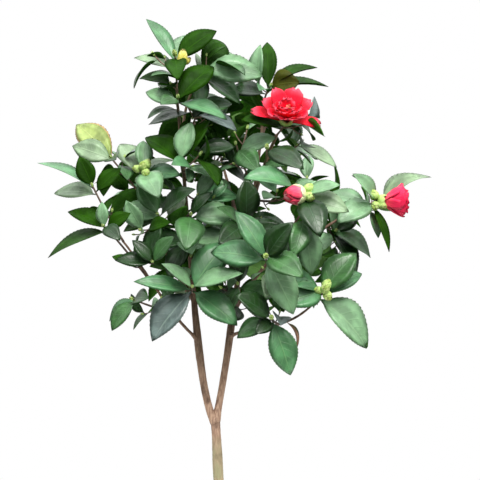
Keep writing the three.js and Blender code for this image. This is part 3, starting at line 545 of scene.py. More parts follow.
class Blade:
    """A leaf or a petal: t runs from its stalk to its tip, and s from -1 to 1 across it."""

    def __init__(self, base, way, normal, length, width, bend, **shape):
        self.base, self.way, self.normal = base, way, normal
        self.length, self.width, self.bend = length, width, bend
        self.side = np.cross(way, normal)
        self.shape = shape

    def lift(self, t):
        turn = self.bend * t
        return np.outer(np.cos(turn), self.normal) + np.outer(np.sin(turn), self.way)

    def lay(self, t, s, under=0.0, outline=leaf_outline):
        get = self.shape.get
        half = np.maximum(0.5 * self.width * outline(t), get("least", 0.0))
        t = t - get("round", 0.0) * s * s * t**3 - get("notch", 0.0) * np.exp(-((s / 0.25) ** 2)) * t**8
        turn = self.bend * t
        rib = np.outer(np.sin(turn) / self.bend, self.way)
        rib = rib - np.outer((1 - np.cos(turn)) / self.bend, self.normal)
        cup = get("cup", 0.0) + 1e-6
        out = half * np.sin(cup * s) / cup
        rise = half * (1 - np.cos(cup * s)) / cup + get("fold", FOLD) * np.abs(s) * 2 * half
        ripple = s * s * np.sin(RIPPLES * t + get("phase", 0.0) + 2.2 * s)
        frill = t**4 * np.sin(FRILLS * s + get("phase", 0.0))
        rise = rise + self.width * (get("wave", 0.0) * ripple + get("frill", 0.0) * frill)
        rise = rise + under * get("thick", 0.9) * (1 - get("thin_edge", 0.6) * s * s)
        return self.base + self.length * rib + self.side * out[:, None] + self.lift(t) * rise[:, None]

    def test_points(self):
        t, s = np.array(TEST_POINTS).T
        raised = FOLD * np.abs(s) * self.width * (1 - TEST_SPAN * leaf_outline(t))
        return self.lay(t, s * TEST_SPAN) + self.lift(t) * raised[:, None]


print("a blade is tested at", len(TEST_POINTS), "points")

# %% [markdown]
# ## Shoots and flowers
# Each spray is one twig from its limb and up to four side shoots. A flower or a cluster of buds keeps a
# ball of air round itself, which leaves may not enter.

# %% Shoots
FLOWER_AIR = {
    # kind: way it faces, distance from the twig's tip, radius of the ball kept free
    "bloom": ((0.05, -0.64, 0.77), 22, 34),
    "half": ((0.9, -0.42, 0.12), 26, 25),
    "opening": ((-0.9, -0.4, -0.1), 12, 17),
    "buds": (None, 12, 14),
    "bud": (None, 8, 8),
}
LONG_TWIG = 60
SIDE_TWIG = {"lean": 60, "reach": (28, 44), "leaves": (3, 2.5), "size": (0.8, 0.95), "radii": (1.25, 1.0),
             "rank": 1}


class Shoot:
    def __init__(self, twig, face, hours, size, rank, shares=()):
        self.twig, self.face, self.hours, self.size, self.rank = twig, face, hours, size, rank
        self.shares = shares or [1] * len(hours)
        self.reach = np.linalg.norm(twig.points[2] - twig.points[0])


def main_shoot(limb, at, tip, face, size, hours, shares):
    start = limb.at(at)
    gap = np.linalg.norm(tip - start)
    hold = tip - face * gap * 0.45
    if at == 1:
        hold = (start + limb.way(1) * gap * 0.5 + hold) / 2
    twig = Branch([start, hold, tip], 1.9 if gap > LONG_TWIG else 1.6, 1.15)
    return Shoot(twig, face, hours, size, 0, shares)


def twig_off(shoot, t, hour, kind, draw):
    out = unit(toward(shoot.twig.way(t), hour, math.radians(kind["lean"])) + UP * 0.2)
    reach = draw(*kind["reach"])
    root = shoot.twig.at(t)
    end = root + out * reach
    face = unit(out + UP * 0.4)
    start_hour = draw(0, 12)
    least, more = kind["leaves"]
    hours = [start_hour + j * NEXT_HOUR for j in range(least + int(draw(0, more)))]
    twig = Branch([root, end - face * reach * 0.5, end], *kind["radii"])
    return Shoot(twig, face, hours, shoot.size * draw(*kind["size"]), kind["rank"])


class Spray:
    def __init__(self, index, name, limb, at, tip, face, size, hours, sides, first, flower="", shares=()):
        self.name, self.flower, self.leaves = name, flower, []
        self.draw = dice(101 + 37 * index)
        tip, face = np.array(tip, float), unit(np.array(face, float))
        main = main_shoot(limbs[limb], at, tip, face, size, hours, shares)
        self.shoots = [main]
        for k in range(sides):
            hour = first + k * NEXT_HOUR + self.draw(-0.6, 0.6)
            self.shoots.append(twig_off(main, 0.35 + 0.5 * (k + 0.5) / sides, hour, SIDE_TWIG, self.draw))
        if flower:
            way, along, self.air = FLOWER_AIR[flower]
            self.way = face if way is None else unit(np.array(way))
            self.base = main.twig.at(1)
            self.centre = self.base + self.way * along


def spray_with(flower):
    return next(spray for spray in sprays if spray.flower == flower)


sprays = [Spray(index, *row) for index, row in enumerate(SPRAYS)]
print("shoots:", sum(len(spray.shoots) for spray in sprays))

# %% [markdown]
# ## Room in the crown
# Leaves that are scattered as particles run through one another. So the crown keeps a list of where its wood,
# its flowers and its leaves already are, and tells whether a new leaf has room among them.

# %% Room in the crown
LEAF_APART, SHOOT_APART, WOOD_APART, FLOWER_APART = 9.5, 7.0, 5.0, 2
OWN_WOOD, WOOD_REACH = 20, 30
LIMB_POINTS, TWIG_POINTS = 60, 16


def apart_from(points, others):
    return np.linalg.norm(others[None] - points[:, None], axis=2)


class Crown:
    """Where wood, flowers and leaves already are."""

    def __init__(self):
        self.wood, self.wood_radius, self.shoot_count = [], [], 0
        self.points, self.owner, self.outer = np.zeros((0, 3)), np.zeros(0, int), np.zeros(0, bool)

    def note_wood(self, branch, steps):
        for i in range(steps + 1):
            self.wood.append(branch.at(i / steps))
            self.wood_radius.append(branch.radius(i / steps))

    def is_free(self, leaf, spray, shoot, apart):
        points = leaf.test_points()
        wood, radius = np.array(self.wood), np.array(self.wood_radius)
        away = np.linalg.norm(wood - leaf.base, axis=1)
        near = (away > OWN_WOOD) & (away < leaf.length + WOOD_REACH)
        if near.any() and (apart_from(points, wood[near]) - radius[near][None]).min() < WOOD_APART:
            return False
        for other in sprays:
            if other.flower:
                tested = points[OUTER] if other is spray else points
                if np.linalg.norm(tested - other.centre, axis=1).min() < other.air + FLOWER_APART:
                    return False
        if len(self.points):
            gaps = apart_from(points, self.points)
            same = self.owner == shoot
            if (~same).any() and gaps[:, ~same].min() < apart:
                return False
            tips = same & self.outer
            if tips.any() and gaps[OUTER][:, tips].min() < SHOOT_APART:
                return False
        return True

    def note_leaf(self, leaf, shoot):
        self.points = np.vstack([self.points, leaf.test_points()])
        self.owner = np.append(self.owner, [shoot] * len(TEST_POINTS))
        self.outer = np.append(self.outer, OUTER)


# %% [markdown]
# ## Setting the leaves
# The oldest leaf of a shoot sits lowest and leans out furthest, and the youngest stands more upright at the
# tip. The dice give each leaf its length, its width, its bend and its roll.

# %% Set the leaves
OLD_LEAN, YOUNG_LEAN = 84, 50
TIP_GAP, LEAF_STEP = 2.0, 5.0
TURNS = [(0, 0), (0.5, -0.15), (-0.5, 0.15), (0.2, -0.45), (-0.8, 0.3), (0.9, -0.3)]


def set_leaves(crown, spray, shoot, draw, apart, least_reach=20, inside=None):
    crown.shoot_count += 1
    count = len(shoot.hours)
    placed = []
    for k, hour in enumerate(shoot.hours):
        age = k / (count - 1)
        below_tip = TIP_GAP + (count - 1 - k) * LEAF_STEP
        base = shoot.twig.at(max(0.0, 1 - below_tip / max(least_reach, shoot.reach)))
        lean = math.radians(OLD_LEAN + (YOUNG_LEAN - OLD_LEAN) * age)
        size = shoot.size * draw(0.86, 1.06) * shoot.shares[k]
        width = size * draw(0.45, 0.54)
        bend, roll = draw(0.35, 0.85), draw(-0.35, 0.35)
        for attempt, (turn, nod) in enumerate(TURNS):
            way = toward(shoot.face, hour + turn, lean + nod)
            normal = unit(across(shoot.face + UP * 0.35, way))
            normal = unit(normal * math.cos(roll) + np.cross(way, normal) * math.sin(roll))
            shrink = 1 - 0.06 * attempt
            leaf = Blade(base, way, normal, size * shrink, width * shrink, bend)
            if inside is not None and not inside(leaf):
                continue
            if crown.is_free(leaf, spray, crown.shoot_count, apart):
                leaf.number = k
                crown.note_leaf(leaf, crown.shoot_count)
                placed.append(leaf)
                break
    spray.leaves += placed
    return placed


crown = Crown()
for limb in limbs.values():
    crown.note_wood(limb, LIMB_POINTS)
for spray in sprays:
    for shoot in spray.shoots:
        crown.note_wood(shoot.twig, TWIG_POINTS)
for spray in sprays:
    for number, shoot in enumerate(spray.shoots):
        for leaf in set_leaves(crown, spray, shoot, spray.draw, LEAF_APART):
            leaf.shoot_number = number
print("leaves as in the solids:", sum(len(spray.leaves) for spray in sprays))

# %% [markdown]
# ## Finer twigs
# Short twigs grow out of every shoot and carry two or three smaller leaves. They are kept inside the space
# of their spray's own solid, so that the crown gets fuller and no larger.

# %% Finer twigs
FINE_APART = 7.5
FINE_ROOM = 6.0
FINE_TRIES = 2
FINE_TWIG = {"lean": 58, "reach": (12, 24), "leaves": (2, 2), "size": (0.55, 0.8), "radii": (0.95, 0.75),
             "rank": 2}
WITHOUT_FINE_TWIGS = ("right_bud_spray",)


def inside_of(spray):
    low, high = (np.array(v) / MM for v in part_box(spray.name))

    def test(leaf):
        points = leaf.test_points()
        return bool((points > low - FINE_ROOM).all() and (points < high + FINE_ROOM).all())

    return test


for index, spray in enumerate(sprays):
    draw = dice(7001 + 53 * index)
    inside = inside_of(spray)
    grown = [] if spray.name in WITHOUT_FINE_TWIGS else list(spray.shoots)
    for shoot in grown:
        for _ in range(FINE_TRIES):
            fine = twig_off(shoot, draw(0.10, 0.62), draw(0, 12), FINE_TWIG, draw)
            placed = set_leaves(crown, spray, fine, draw, FINE_APART, 14, inside)
            if placed:
                spray.shoots.append(fine)
                for leaf in placed:
                    leaf.shoot_number = len(spray.shoots) - 1
print("leaves with the finer twigs:", sum(len(spray.leaves) for spray in sprays))

# %% [markdown]
# ## Joining a piece
# A finished piece is one mesh in metres with its object at the origin. It rides on the plant's one body,
# takes the finishes that it is given and hides the solids that it stands for.

# %% Helper that finishes a piece
def finish_piece(name, bm, looks, solids):
    bmesh.ops.scale(bm, vec=(MM,) * 3, verts=bm.verts)
    if len(looks) == 1:
        for face in bm.faces:
            face.material_index = 0
    mesh = bpy.data.meshes.new(name)
    bm.to_mesh(mesh)
    bm.free()
    for look in looks:
        mesh.materials.append(look)
    mesh.polygons.foreach_set("use_smooth", [True] * len(mesh.polygons))
    piece = add_object(name, mesh)
    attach(piece, "root")
    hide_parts(*solids)
    triangles = sum(len(p.vertices) - 2 for p in mesh.polygons)
    print(f"{name}: {len(mesh.polygons)} faces, {triangles} triangles")


# %% [markdown]
# ## Wood
# A limb is a ring of edges extruded along its curve: each new ring is the last one carried on by a small
# turn, a shift and a scaling. A bevelled curve would give the same pipe, but this keeps the faces in even
# bands, so relief can be pressed into them afterwards: a young trunk has shallow flutes and small knots.

# %% Sweep a limb
def ring_frames(branch, steps):
    side = unit(across(np.array([1.0, 0.2, 0.1]), branch.way(0)))
    frames = []
    for i in range(steps + 1):
        way = branch.way(i / steps)
        side = unit(across(side, way))
        columns = np.column_stack([side, np.cross(way, side), way, branch.at(i / steps)])
        frames.append(Matrix([*columns.tolist(), (0, 0, 0, 1)]))
    return frames


def extrude_rim(bm, rim):
    made = bmesh.ops.extrude_edge_only(bm, edges=rim)["geom"]
    verts = [g for g in made if isinstance(g, bmesh.types.BMVert)]
    ring = set(verts)
    rim = [g for g in made if isinstance(g, bmesh.types.BMEdge) and all(v in ring for v in g.verts)]
    return verts, rim


def sweep(branch, steps, sides, swell=lambda t: 1.0, round_tip=True):
    bm = bmesh.new()
    bmesh.ops.create_circle(bm, cap_ends=True, segments=sides, radius=1.0)
    verts, rim = bm.verts[:], bm.edges[:]
    last = Matrix.Identity(4)
    for i, turned in enumerate(ring_frames(branch, steps)):
        size = branch.radius(i / steps) * swell(i / steps)
        here = turned @ Matrix.Diagonal((size, size, size, 1))
        if i:
            verts, rim = extrude_rim(bm, rim)
        bmesh.ops.transform(bm, matrix=here @ last.inverted(), verts=verts)
        last = here
    if round_tip:
        verts, rim = extrude_rim(bm, rim)
        dome = last @ Matrix.Translation((0, 0, 0.45)) @ Matrix.Scale(0.6, 4)
        bmesh.ops.transform(bm, matrix=dome @ last.inverted(), verts=verts)
    bmesh.ops.contextual_create(bm, geom=rim)
    bmesh.ops.recalc_face_normals(bm, faces=bm.faces)
    return bm


def add_to(whole, part):
    mesh = bpy.data.meshes.new("part")
    part.to_mesh(mesh)
    part.free()
    whole.from_mesh(mesh)
    bpy.data.meshes.remove(mesh)


def noise_at(place, scale, shift=(0, 0, 0)):
    return noise.noise(Vector([a * b for a, b in zip(place, scale)]) + Vector(shift))


def bark_relief(place, radius):
    flutes = noise_at(place, (0.16, 0.16, 0.022))
    ridges = noise_at(place, (0.55, 0.55, 0.07))
    knots = noise_at(place, (0.10, 0.10, 0.10), (7, 3, 9))
    fine = noise_at(place, (1.5, 1.5, 0.5))
    return radius * (0.10 * flutes + 0.035 * ridges + 0.03 * fine + 0.22 * max(0.0, knots - 0.42))


# %% [markdown]
# ## Trunk and boughs
# The trunk flares at its root, a bough swells into a collar where it leaves its parent, and the two stems
# are stouter where boughs leave them. That could be sculpted, but swellings that are told along the curve
# stay in place when a limb is moved. Noise that is stretched along the limb then presses the flutes in.

# %% Trunk and boughs
FLARE_HEIGHT, FLARE_WIDTH, TRUNK_RISE = 16.0, 2.6, 180
RING_APART = 2.6
STEM_SIDES, BOUGH_SIDES = 28, 18
FLAT_CUT = 0.3
COLLAR = 1.38
SLIM = {"left_low_bough": 0.66, "left_mid_bough": 0.8, "right_low_bough": 0.75, "right_up_bough": 0.8}
CROTCH = {
    # limb: how far up it boughs leave it, and how much stouter it is there
    "left_stem": (0.39, 0.28),
    "right_stem": (0.33, 0.28),
}


def trunk_swell(t):
    flare = FLARE_WIDTH * max(0.0, 1 - t * TRUNK_RISE / FLARE_HEIGHT) ** 2 / TRUNK_ROOT
    return 1 + flare + 0.05 * math.exp(-((t - 0.97) / 0.05) ** 2)


def limb_swell(name, limb):
    length, slim = limb.length(), SLIM.get(name, 1.0)
    middle, more = CROTCH.get(name, (0.4, 0.0))

    def swell(t):
        collar = math.exp(-((t * length) / (limb.root * 2.6)) ** 2)
        crotch = 1 + more * math.exp(-((t - middle) / 0.11) ** 2)
        return (slim + (COLLAR - slim) * collar) * crotch

    return swell


wood = bmesh.new()
for name, limb in limbs.items():
    is_trunk = name == "trunk"
    steps = max(24, round(limb.length() / RING_APART))
    swell = trunk_swell if is_trunk else limb_swell(name, limb)
    sides = STEM_SIDES if is_trunk or name in CROTCH else BOUGH_SIDES
    part = sweep(limb, steps, sides, swell, not is_trunk)
    part.normal_update()
    for vert in part.verts:
        if not is_trunk or vert.co.z >= FLAT_CUT:
            vert.co += vert.normal * bark_relief(vert.co, limb.radius(0.5))
    add_to(wood, part)
finish_piece("trunk_and_boughs", wood, [trunk_bark], list(limbs))

# %% [markdown]
# ## Twigs
# A twig is the same sweep with fewer sides. It thickens a little wherever a leaf stands, as the joint of
# a real twig does.

# %% Twigs
def twig_swell(reach):
    def swell(t):
        joint = (1 - t) * reach / LEAF_STEP
        return 1 + 0.16 * math.cos(joint * 2 * math.pi) * max(0.0, 1 - joint / 5)

    return swell


twigs = bmesh.new()
for spray in sprays:
    for shoot in spray.shoots:
        reach = max(8.0, shoot.reach)
        steps = max(5, round(reach / (5 if shoot.rank < 2 else 4)))
        add_to(twigs, sweep(shoot.twig, steps, 8 if shoot.rank == 0 else 6, twig_swell(reach)))
finish_piece("twigs", twigs, [twig_bark], [spray.name for spray in sprays])

# %% [markdown]
# ## One leaf
# One leaf is made flat from a grid: its long edges are cut finer and every second new point is pulled out
# and forward, which gives the small teeth. A flipped copy, joined along the rim, is the underside, so the
# blade is thick at its midrib and thin at its edge. Every leaf on the shrub is this one, bent and folded.

# %% One leaf
LEAF_ROWS = 9
TOOTH_CUTS = 3
TOOTH = 0.045


def blade_template(name, rows, columns, cuts=0, tooth=0.0, pointed=False):
    bm = bmesh.new()
    bmesh.ops.create_grid(bm, x_segments=rows, y_segments=columns, size=0.5)
    bmesh.ops.scale(bm, vec=(1, 2, 1), verts=bm.verts)
    bmesh.ops.translate(bm, vec=(0.5, 0, 0), verts=bm.verts)
    if cuts:
        rim = [e for e in bm.edges if all(abs(v.co.y) > 0.99 for v in e.verts)]
        bmesh.ops.subdivide_edges(bm, edges=rim, cuts=cuts)
        spacing = 1 / (rows * (cuts + 1))
        for vert in bm.verts:
            number = round(vert.co.x / spacing)
            if abs(vert.co.y) > 0.99 and number % 2 and vert.co.x > 0.12:
                vert.co.y *= 1 + tooth
                vert.co.x += spacing * 0.35
    if pointed:
        tip = [v for v in bm.verts if v.co.x > 0.9999 and abs(v.co.y) < 1.01]
        bmesh.ops.pointmerge(bm, verts=tip, merge_co=(1, 0, 0))
    copy = bmesh.ops.duplicate(bm, geom=bm.verts[:] + bm.edges[:] + bm.faces[:])
    under = [g for g in copy["geom"] if isinstance(g, bmesh.types.BMFace)]
    bmesh.ops.reverse_faces(bm, faces=under)
    for face in under:
        face.material_index = 1
    for vert in {v for face in under for v in face.verts}:
        if not vert.is_boundary:
            vert.co.z = -1
    bmesh.ops.remove_doubles(bm, verts=bm.verts, dist=1e-5)
    flat_map = bm.loops.layers.uv.new("leaf")
    for face in bm.faces:
        for loop in face.loops:
            loop[flat_map].uv = (loop.vert.co.x, loop.vert.co.y * 0.5 + 0.5)
    mesh = bpy.data.meshes.new(name)
    bm.to_mesh(mesh)
    bm.free()
    print(name, "has", len(mesh.polygons), "faces")
    return mesh


def join_blades(template, blades, outline):
    shares = np.array([v.co for v in template.vertices])
    bm = bmesh.new()
    for blade in blades:
        first = len(bm.verts)
        bm.from_mesh(template)
        bm.verts.ensure_lookup_table()
        for vert, place in zip(bm.verts[first:], blade.lay(*shares.T, outline=outline)):
            vert.co = place
    return bm


one_leaf = blade_template("one_leaf", LEAF_ROWS, 4, TOOTH_CUTS, TOOTH, True)

# %% [markdown]
# ## Dealing out the colours
# Old leaves are nearly black-green, this year's are mid-green, and the last ones of a shoot are pale or
# yellow-green. Some finishes carry painted light as well: the shade kind is painted shade, the pale and
# mid kinds are partly painted sky sheen, one dark kind has a painted blue-grey sky reflection, and the
# leaves inside the crown are dealt darker finishes as painted shade. Each spray is dealt its own hand of
# finishes, oldest leaf first, and the dice decide the rest. A few leaves are also turned, or drawn narrower
# or broader than usual.

# %% Hands of colours
HANDS = {
    "top_left_crown": "pale mid fresh shade shade",
    "upper_left_front": "mid fresh shade deep",
    "left_leader": "mid shade shade mid",
    "top_centre_crown": "mid deep shade mid fresh",
    "upper_centre": "deep mid slate deep mid",
    "top_right_crown": "dark shade shade shade olive",
    "bloom_spray": "mid shade pale",
    "right_shoulder": "mid deep pale dark",
    "left_tip": "pale shade fresh shade",
    "left_low_leaves": "shade shade shade mid dark",
    "yellow_leaf_spray": "young pale dark",
    "left_bud_spray": "pale fresh pale mid mid",
    "left_hang": "dark dark deep",
    "left_low_tip": "fresh deep dark",
    "left_front": "slate fresh fresh fresh mid mid",
    "left_inner": "shade deep mid dark deep",
    "left_arch": "deep mid dark mid",
    "centre_left": "mid dark dark deep",
    "centre_fan": "mid fresh mid deep",
    "centre_high": "dark mid deep dark fresh",
    "right_leader": "shade dark mid dark",
    "right_pale": "mid deep deep fresh",
    "opening_bud_spray": "mid pale dark mid",
    "far_right_spray": "mid shade mid mid",
    "far_right_tip": "pale pale",
    "right_dark": "deep dark mid dark mid",
    "right_hang": "mid dark dark deep",
    "right_bud_spray": "mid fresh deep fresh fresh",
    "front_whorl": "fresh mid fresh dark deep",
    "low_whorl": "fresh deep dark deep dark",
    "centre_low": "dark deep deep dark",
    "centre_mid": "dark deep deep dark dark",
}
COMMON = "dark mid shade deep fresh dark pale deep slate mid".split()
# Leaves inside the crown are dealt darker finishes, as painted shade.
IN_SHADE = "dark shade dark deep shade".split()
FRONT = np.array([0.0, -1.0, 0.0])
TURNED = {
    # spray: number of a leaf, or side shoot and number, and how far it is turned: from 0 as it grew
    # to 1 level, or to -1 facing the front
    "top_left_crown": {0: 0.2, 1: 0.5, 2: 0.25, 4: 0.4},
    "top_right_crown": {1: 0.6, 3: 0.55, 4: -0.8},
    "top_centre_crown": {0: -0.7, 3: -0.5, (1, 1): 1.0},
    "left_tip": {0: 0.2, 1: -0.5, 2: 0.6},
    "left_low_leaves": {0: 0.55, 1: 0.2},
    "far_right_tip": {0: 0.6, 1: 0.5},
    "far_right_spray": {0: 0.25, 3: 0.25},
    "right_bud_spray": {0: 0.15},
    "front_whorl": {2: 0.3},
    "left_front": {5: 0.3},
}
WIDTH_SHARE = {
    # spray: number of a leaf and its share of the usual width
    "yellow_leaf_spray": {0: 0.74},
    "far_right_spray": {1: 0.40},
    "front_whorl": {2: 0.85},
    "low_whorl": {0: 0.9},
    "top_left_crown": {2: 0.55},
    "top_right_crown": {2: 0.62, 4: 1.5},
    "left_front": {0: 1.1, 2: 0.58, 4: 0.66, 5: 0.8},
    "right_bud_spray": {0: 1.1},
    "left_tip": {3: 1.2},
}
# A leaf of a side shoot that would hide the yellow buds of the crown.
LEFT_OUT = ("top_left_crown", (1, 0))
# One brown, curled leaf hangs under the low whorl.
WITHERED_STALK = np.array([96.0, -84.0, 333.0])
WITHERED_WAY, WITHERED_FACE = unit([0.74, -0.08, -0.45]), unit([0.45, -0.2, 0.85])
WITHERED_SIZE = (46.0, 11.0, 1.5)


# %% [markdown]
# ## Dressing the leaves
# Each leaf now gets its true outline, its fold along the midrib, a slight cup and a wave of its own, so that
# no two catch the light alike. Hundreds of separate objects would be slow to handle, so one mesh holds all
# the leaves of a finish.

# %% Leaves
def drawn_outline(t):
    inside = np.clip((t - STALK) / (1 - STALK), 0, 1)
    return 1.06 * np.sin(math.pi * inside**0.94).clip(0) ** 0.85 * (1.04 - 0.22 * inside**2)


def turn_and_shape(leaf, flat, share, draw):
    level = unit(across(UP if flat > 0 else FRONT, leaf.way))
    leaf.normal = unit(leaf.normal * (1 - abs(flat)) + level * abs(flat))
    leaf.side = np.cross(leaf.way, leaf.normal)
    leaf.width = leaf.width * share
    leaf.shape = {"fold": FOLD * draw(0.7, 1.6), "cup": draw(-0.06, 0.16), "wave": draw(0.0, 0.02),
                  "phase": draw(0, 6.3), "least": 0.9}


dealt = {kind: [] for kind in LEAF_COLOURS}
holders = {kind: set() for kind in LEAF_COLOURS}
for index, spray in enumerate(sprays):
    draw = dice(9001 + 71 * index)
    hand = HANDS.get(spray.name, "").split()
    usual = IN_SHADE if spray.name.startswith("inner") else COMMON
    for leaf in spray.leaves:
        where = (leaf.shoot_number, leaf.number)
        if (spray.name, where) == LEFT_OUT:
            continue
        key = where if leaf.shoot_number else leaf.number
        kind = usual[int(draw(0, len(usual) - 0.001))]
        if leaf.shoot_number == 0 and leaf.number < len(hand):
            kind = hand[leaf.number]
        flat = TURNED.get(spray.name, {}).get(key, 0.0)
        share = WIDTH_SHARE.get(spray.name, {}).get(key, 1.0)
        turn_and_shape(leaf, flat, share, draw)
        dealt[kind].append(leaf)
        holders[kind].add(spray.name)
dealt["withered"].append(Blade(WITHERED_STALK, WITHERED_WAY, WITHERED_FACE, *WITHERED_SIZE, fold=0.2, cup=0.5,
                               wave=0.05, phase=1.0, least=0.9))
holders["withered"].add("low_whorl")
for kind, leaves in dealt.items():
    bm = join_blades(one_leaf, leaves, drawn_outline)
    finish_piece("leaves_" + kind, bm, leaf_looks[kind], sorted(holders[kind]))

# %% [markdown]
# ## Petals and bud scales
# A petal is the same kind of bent blade, with a narrow foot, a broad rounded end and a soft notch. A bud
# scale is a small rounded patch that hugs an egg, each one lapping over the next.

# %% Petal and scale shapes
EGG_TAPER = 0.20
EGG_FOOT = 0.85
CLOSED_SCALES = ((-0.9, 0.30, 3), (-0.75, 0.72, 3), (-0.6, 0.985, 2))


def petal_outline(t):
    foot = 0.26 + 0.74 * np.sin(0.5 * math.pi * np.clip(t / 0.66, 0, 1)) ** 1.3
    end = np.sqrt(np.clip(1 - (np.clip(t - 0.66, 0, 1) / 0.37) ** 2, 0.02, 1))
    return foot * end


def husk_outline(t):
    return np.sqrt(np.clip(1 - (np.clip(t - 0.35, 0, 1) / 0.66) ** 2, 0.01, 1))


class Husk:
    """A scale or a tight petal that hugs an egg: from height share to height share, round one side."""

    def __init__(self, foot, axis, radius, half, low, high, middle, spread, stand, thick):
        self.axis = axis
        self.twelve = toward(axis, 12, math.pi / 2)
        self.three = np.cross(self.twelve, axis)
        self.foot, self.radius, self.half = foot, radius, half
        self.low, self.high, self.middle, self.spread = low, high, middle, spread
        self.stand, self.thick = stand, thick

    def lay(self, t, s, under, outline):
        height = self.low + (self.high - self.low) * (t - 0.10 * s * s * t * t)
        angle = self.middle + s * self.spread * outline(t)
        girth = self.radius * np.sqrt(np.clip(1 - height**2, 0, 1)) * (1 - EGG_TAPER * height)
        girth = girth + self.stand * (0.5 + 0.5 * t) + under * self.thick
        out = np.outer(np.cos(angle), self.twelve) + np.outer(np.sin(angle), self.three)
        rise = (height + EGG_FOOT) * self.half + self.stand * 0.4 * t
        return self.foot + np.outer(rise, self.axis) + out * girth[:, None]


small_petal = blade_template("one_scale", 4, 4)
wide_petal = blade_template("one_petal", 8, 8)


def scales_on_egg(foot, axis, radius, half, turn, rows=CLOSED_SCALES):
    husks = []
    for level, (low, high, count) in enumerate(rows):
        for k in range(count):
            middle = turn + level * 1.1 + k * 2 * math.pi / count
            spread = math.pi / count * 1.12
            stand = 0.5 * (len(rows) - level) / len(rows) * radius * 0.10
            husks.append(Husk(foot, axis, radius, half, low, high, middle, spread, stand, -0.35))
    return husks


def add_egg(bm, foot, axis, radius, half, sides=12):
    turned = ring_frames(Branch([foot, foot + axis, foot + axis * 2], 1, 1), 1)[0]
    made = bmesh.ops.create_uvsphere(bm, u_segments=sides, v_segments=8, radius=1.0)["verts"]
    for vert in made:
        vert.co.x *= 1 - EGG_TAPER * vert.co.z
        vert.co.y *= 1 - EGG_TAPER * vert.co.z
    shift = Matrix.Translation((0, 0, EGG_FOOT * half))
    bmesh.ops.transform(bm, matrix=turned @ shift @ Matrix.Diagonal((radius, radius, half, 1)), verts=made)


# %% [markdown]
# ## Buds
# Fat green flower buds sit in clusters at the ends of the flowering twigs: an egg wrapped in eight scales.
# The other shoots end in one slim pointed leaf bud.

# %% Buds
BUDS_APART = 3.6
SIDE_BUD = (6.3, 8.4)
END_BUD = {"buds": (6, 9), "bud": (3.3, 7.8)}
SIDE_BUDS = {
    # kind of flower: the hours of the buds beside it
    "half": [11, 7, 4.6],
    "opening": [1.5, 4.5],
    "buds": [1, 5, 9],
}
LEAF_BUD = (1.9, 5.2)
LEAF_BUD_SCALES = ((-0.9, 0.5, 2), (-0.7, 0.99, 2))
turn = dice(31)
flower_sprays = [spray for spray in sprays if spray.flower]
bud_eggs, husks = bmesh.new(), []
for spray in flower_sprays:
    face = spray.shoots[0].face
    places = [(toward(face, hour, 1.2), *SIDE_BUD) for hour in SIDE_BUDS.get(spray.flower, [])]
    if spray.flower in END_BUD:
        places.append((spray.way, *END_BUD[spray.flower]))
    for axis, radius, half in places:
        size = turn(0.86, 1.06)
        foot = spray.base + axis * BUDS_APART
        add_egg(bud_eggs, foot, axis, radius * size * 0.98, half * size * 0.99)
        husks += scales_on_egg(foot, axis, radius * size, half * size, turn(0, 6.3))
for spray in sprays:
    for number, shoot in enumerate(spray.shoots):
        if number == 0 and spray.flower:
            continue
        axis = unit(shoot.twig.way(1) + shoot.face * 0.4)
        size = turn(0.8, 1.15) * (1.0 if shoot.rank < 2 else 0.7)
        foot = shoot.twig.at(1) - axis * 0.5
        radius, half = LEAF_BUD
        husks += scales_on_egg(foot, axis, radius * size, half * size, turn(0, 6.3), LEAF_BUD_SCALES)
add_to(bud_eggs, join_blades(small_petal, husks, husk_outline))
finish_piece("green_buds", bud_eggs, [scale_green], [spray.name for spray in flower_sprays])

# %% [markdown]
# ## Yellow buds
# At the top of the crown three buds are turning yellow. They are the same eggs and scales, only slimmer, and
# their scales reach higher up the egg.

# %% Yellow buds
CROWN_BUDS = [
    # place from the twig's tip, way it points, radius, half length
    ((9, -6, -14), (0.15, -0.2, 1.0), 7.2, 14.0),
    ((14, -2, -10), (0.75, -0.2, 0.8), 4.0, 7.0),
    ((-3, -8, -22), (-0.35, -0.3, 0.9), 5.0, 8.0),
]
CROWN_SCALES = ((-0.9, 0.75, 3), (-0.75, 0.985, 3), (-0.6, 0.995, 3))
crown_spray = next(spray for spray in sprays if spray.name == "top_left_crown")
crown_eggs, crown_husks = bmesh.new(), []
for shift, axis, radius, half in CROWN_BUDS:
    foot, axis = crown_spray.base + np.array(shift, float), unit(axis)
    add_egg(crown_eggs, foot, axis, radius * 0.9, half * 0.9)
    crown_husks += scales_on_egg(foot, axis, radius, half, turn(0, 6.3), CROWN_SCALES)
add_to(crown_eggs, join_blades(small_petal, crown_husks, husk_outline))
finish_piece("crown_buds", crown_eggs, [scale_yellow], [crown_spray.name])

# %% [markdown]
# ## The open flower
# The open bloom looks up and a little towards the front. Its petals stand in whorls: the outer ones lie
# back, each inner whorl is shorter and stands more upright, and the middle is a knot of curled petals
# with a few yellow stamens between them. Two tall petals stand up at the back.

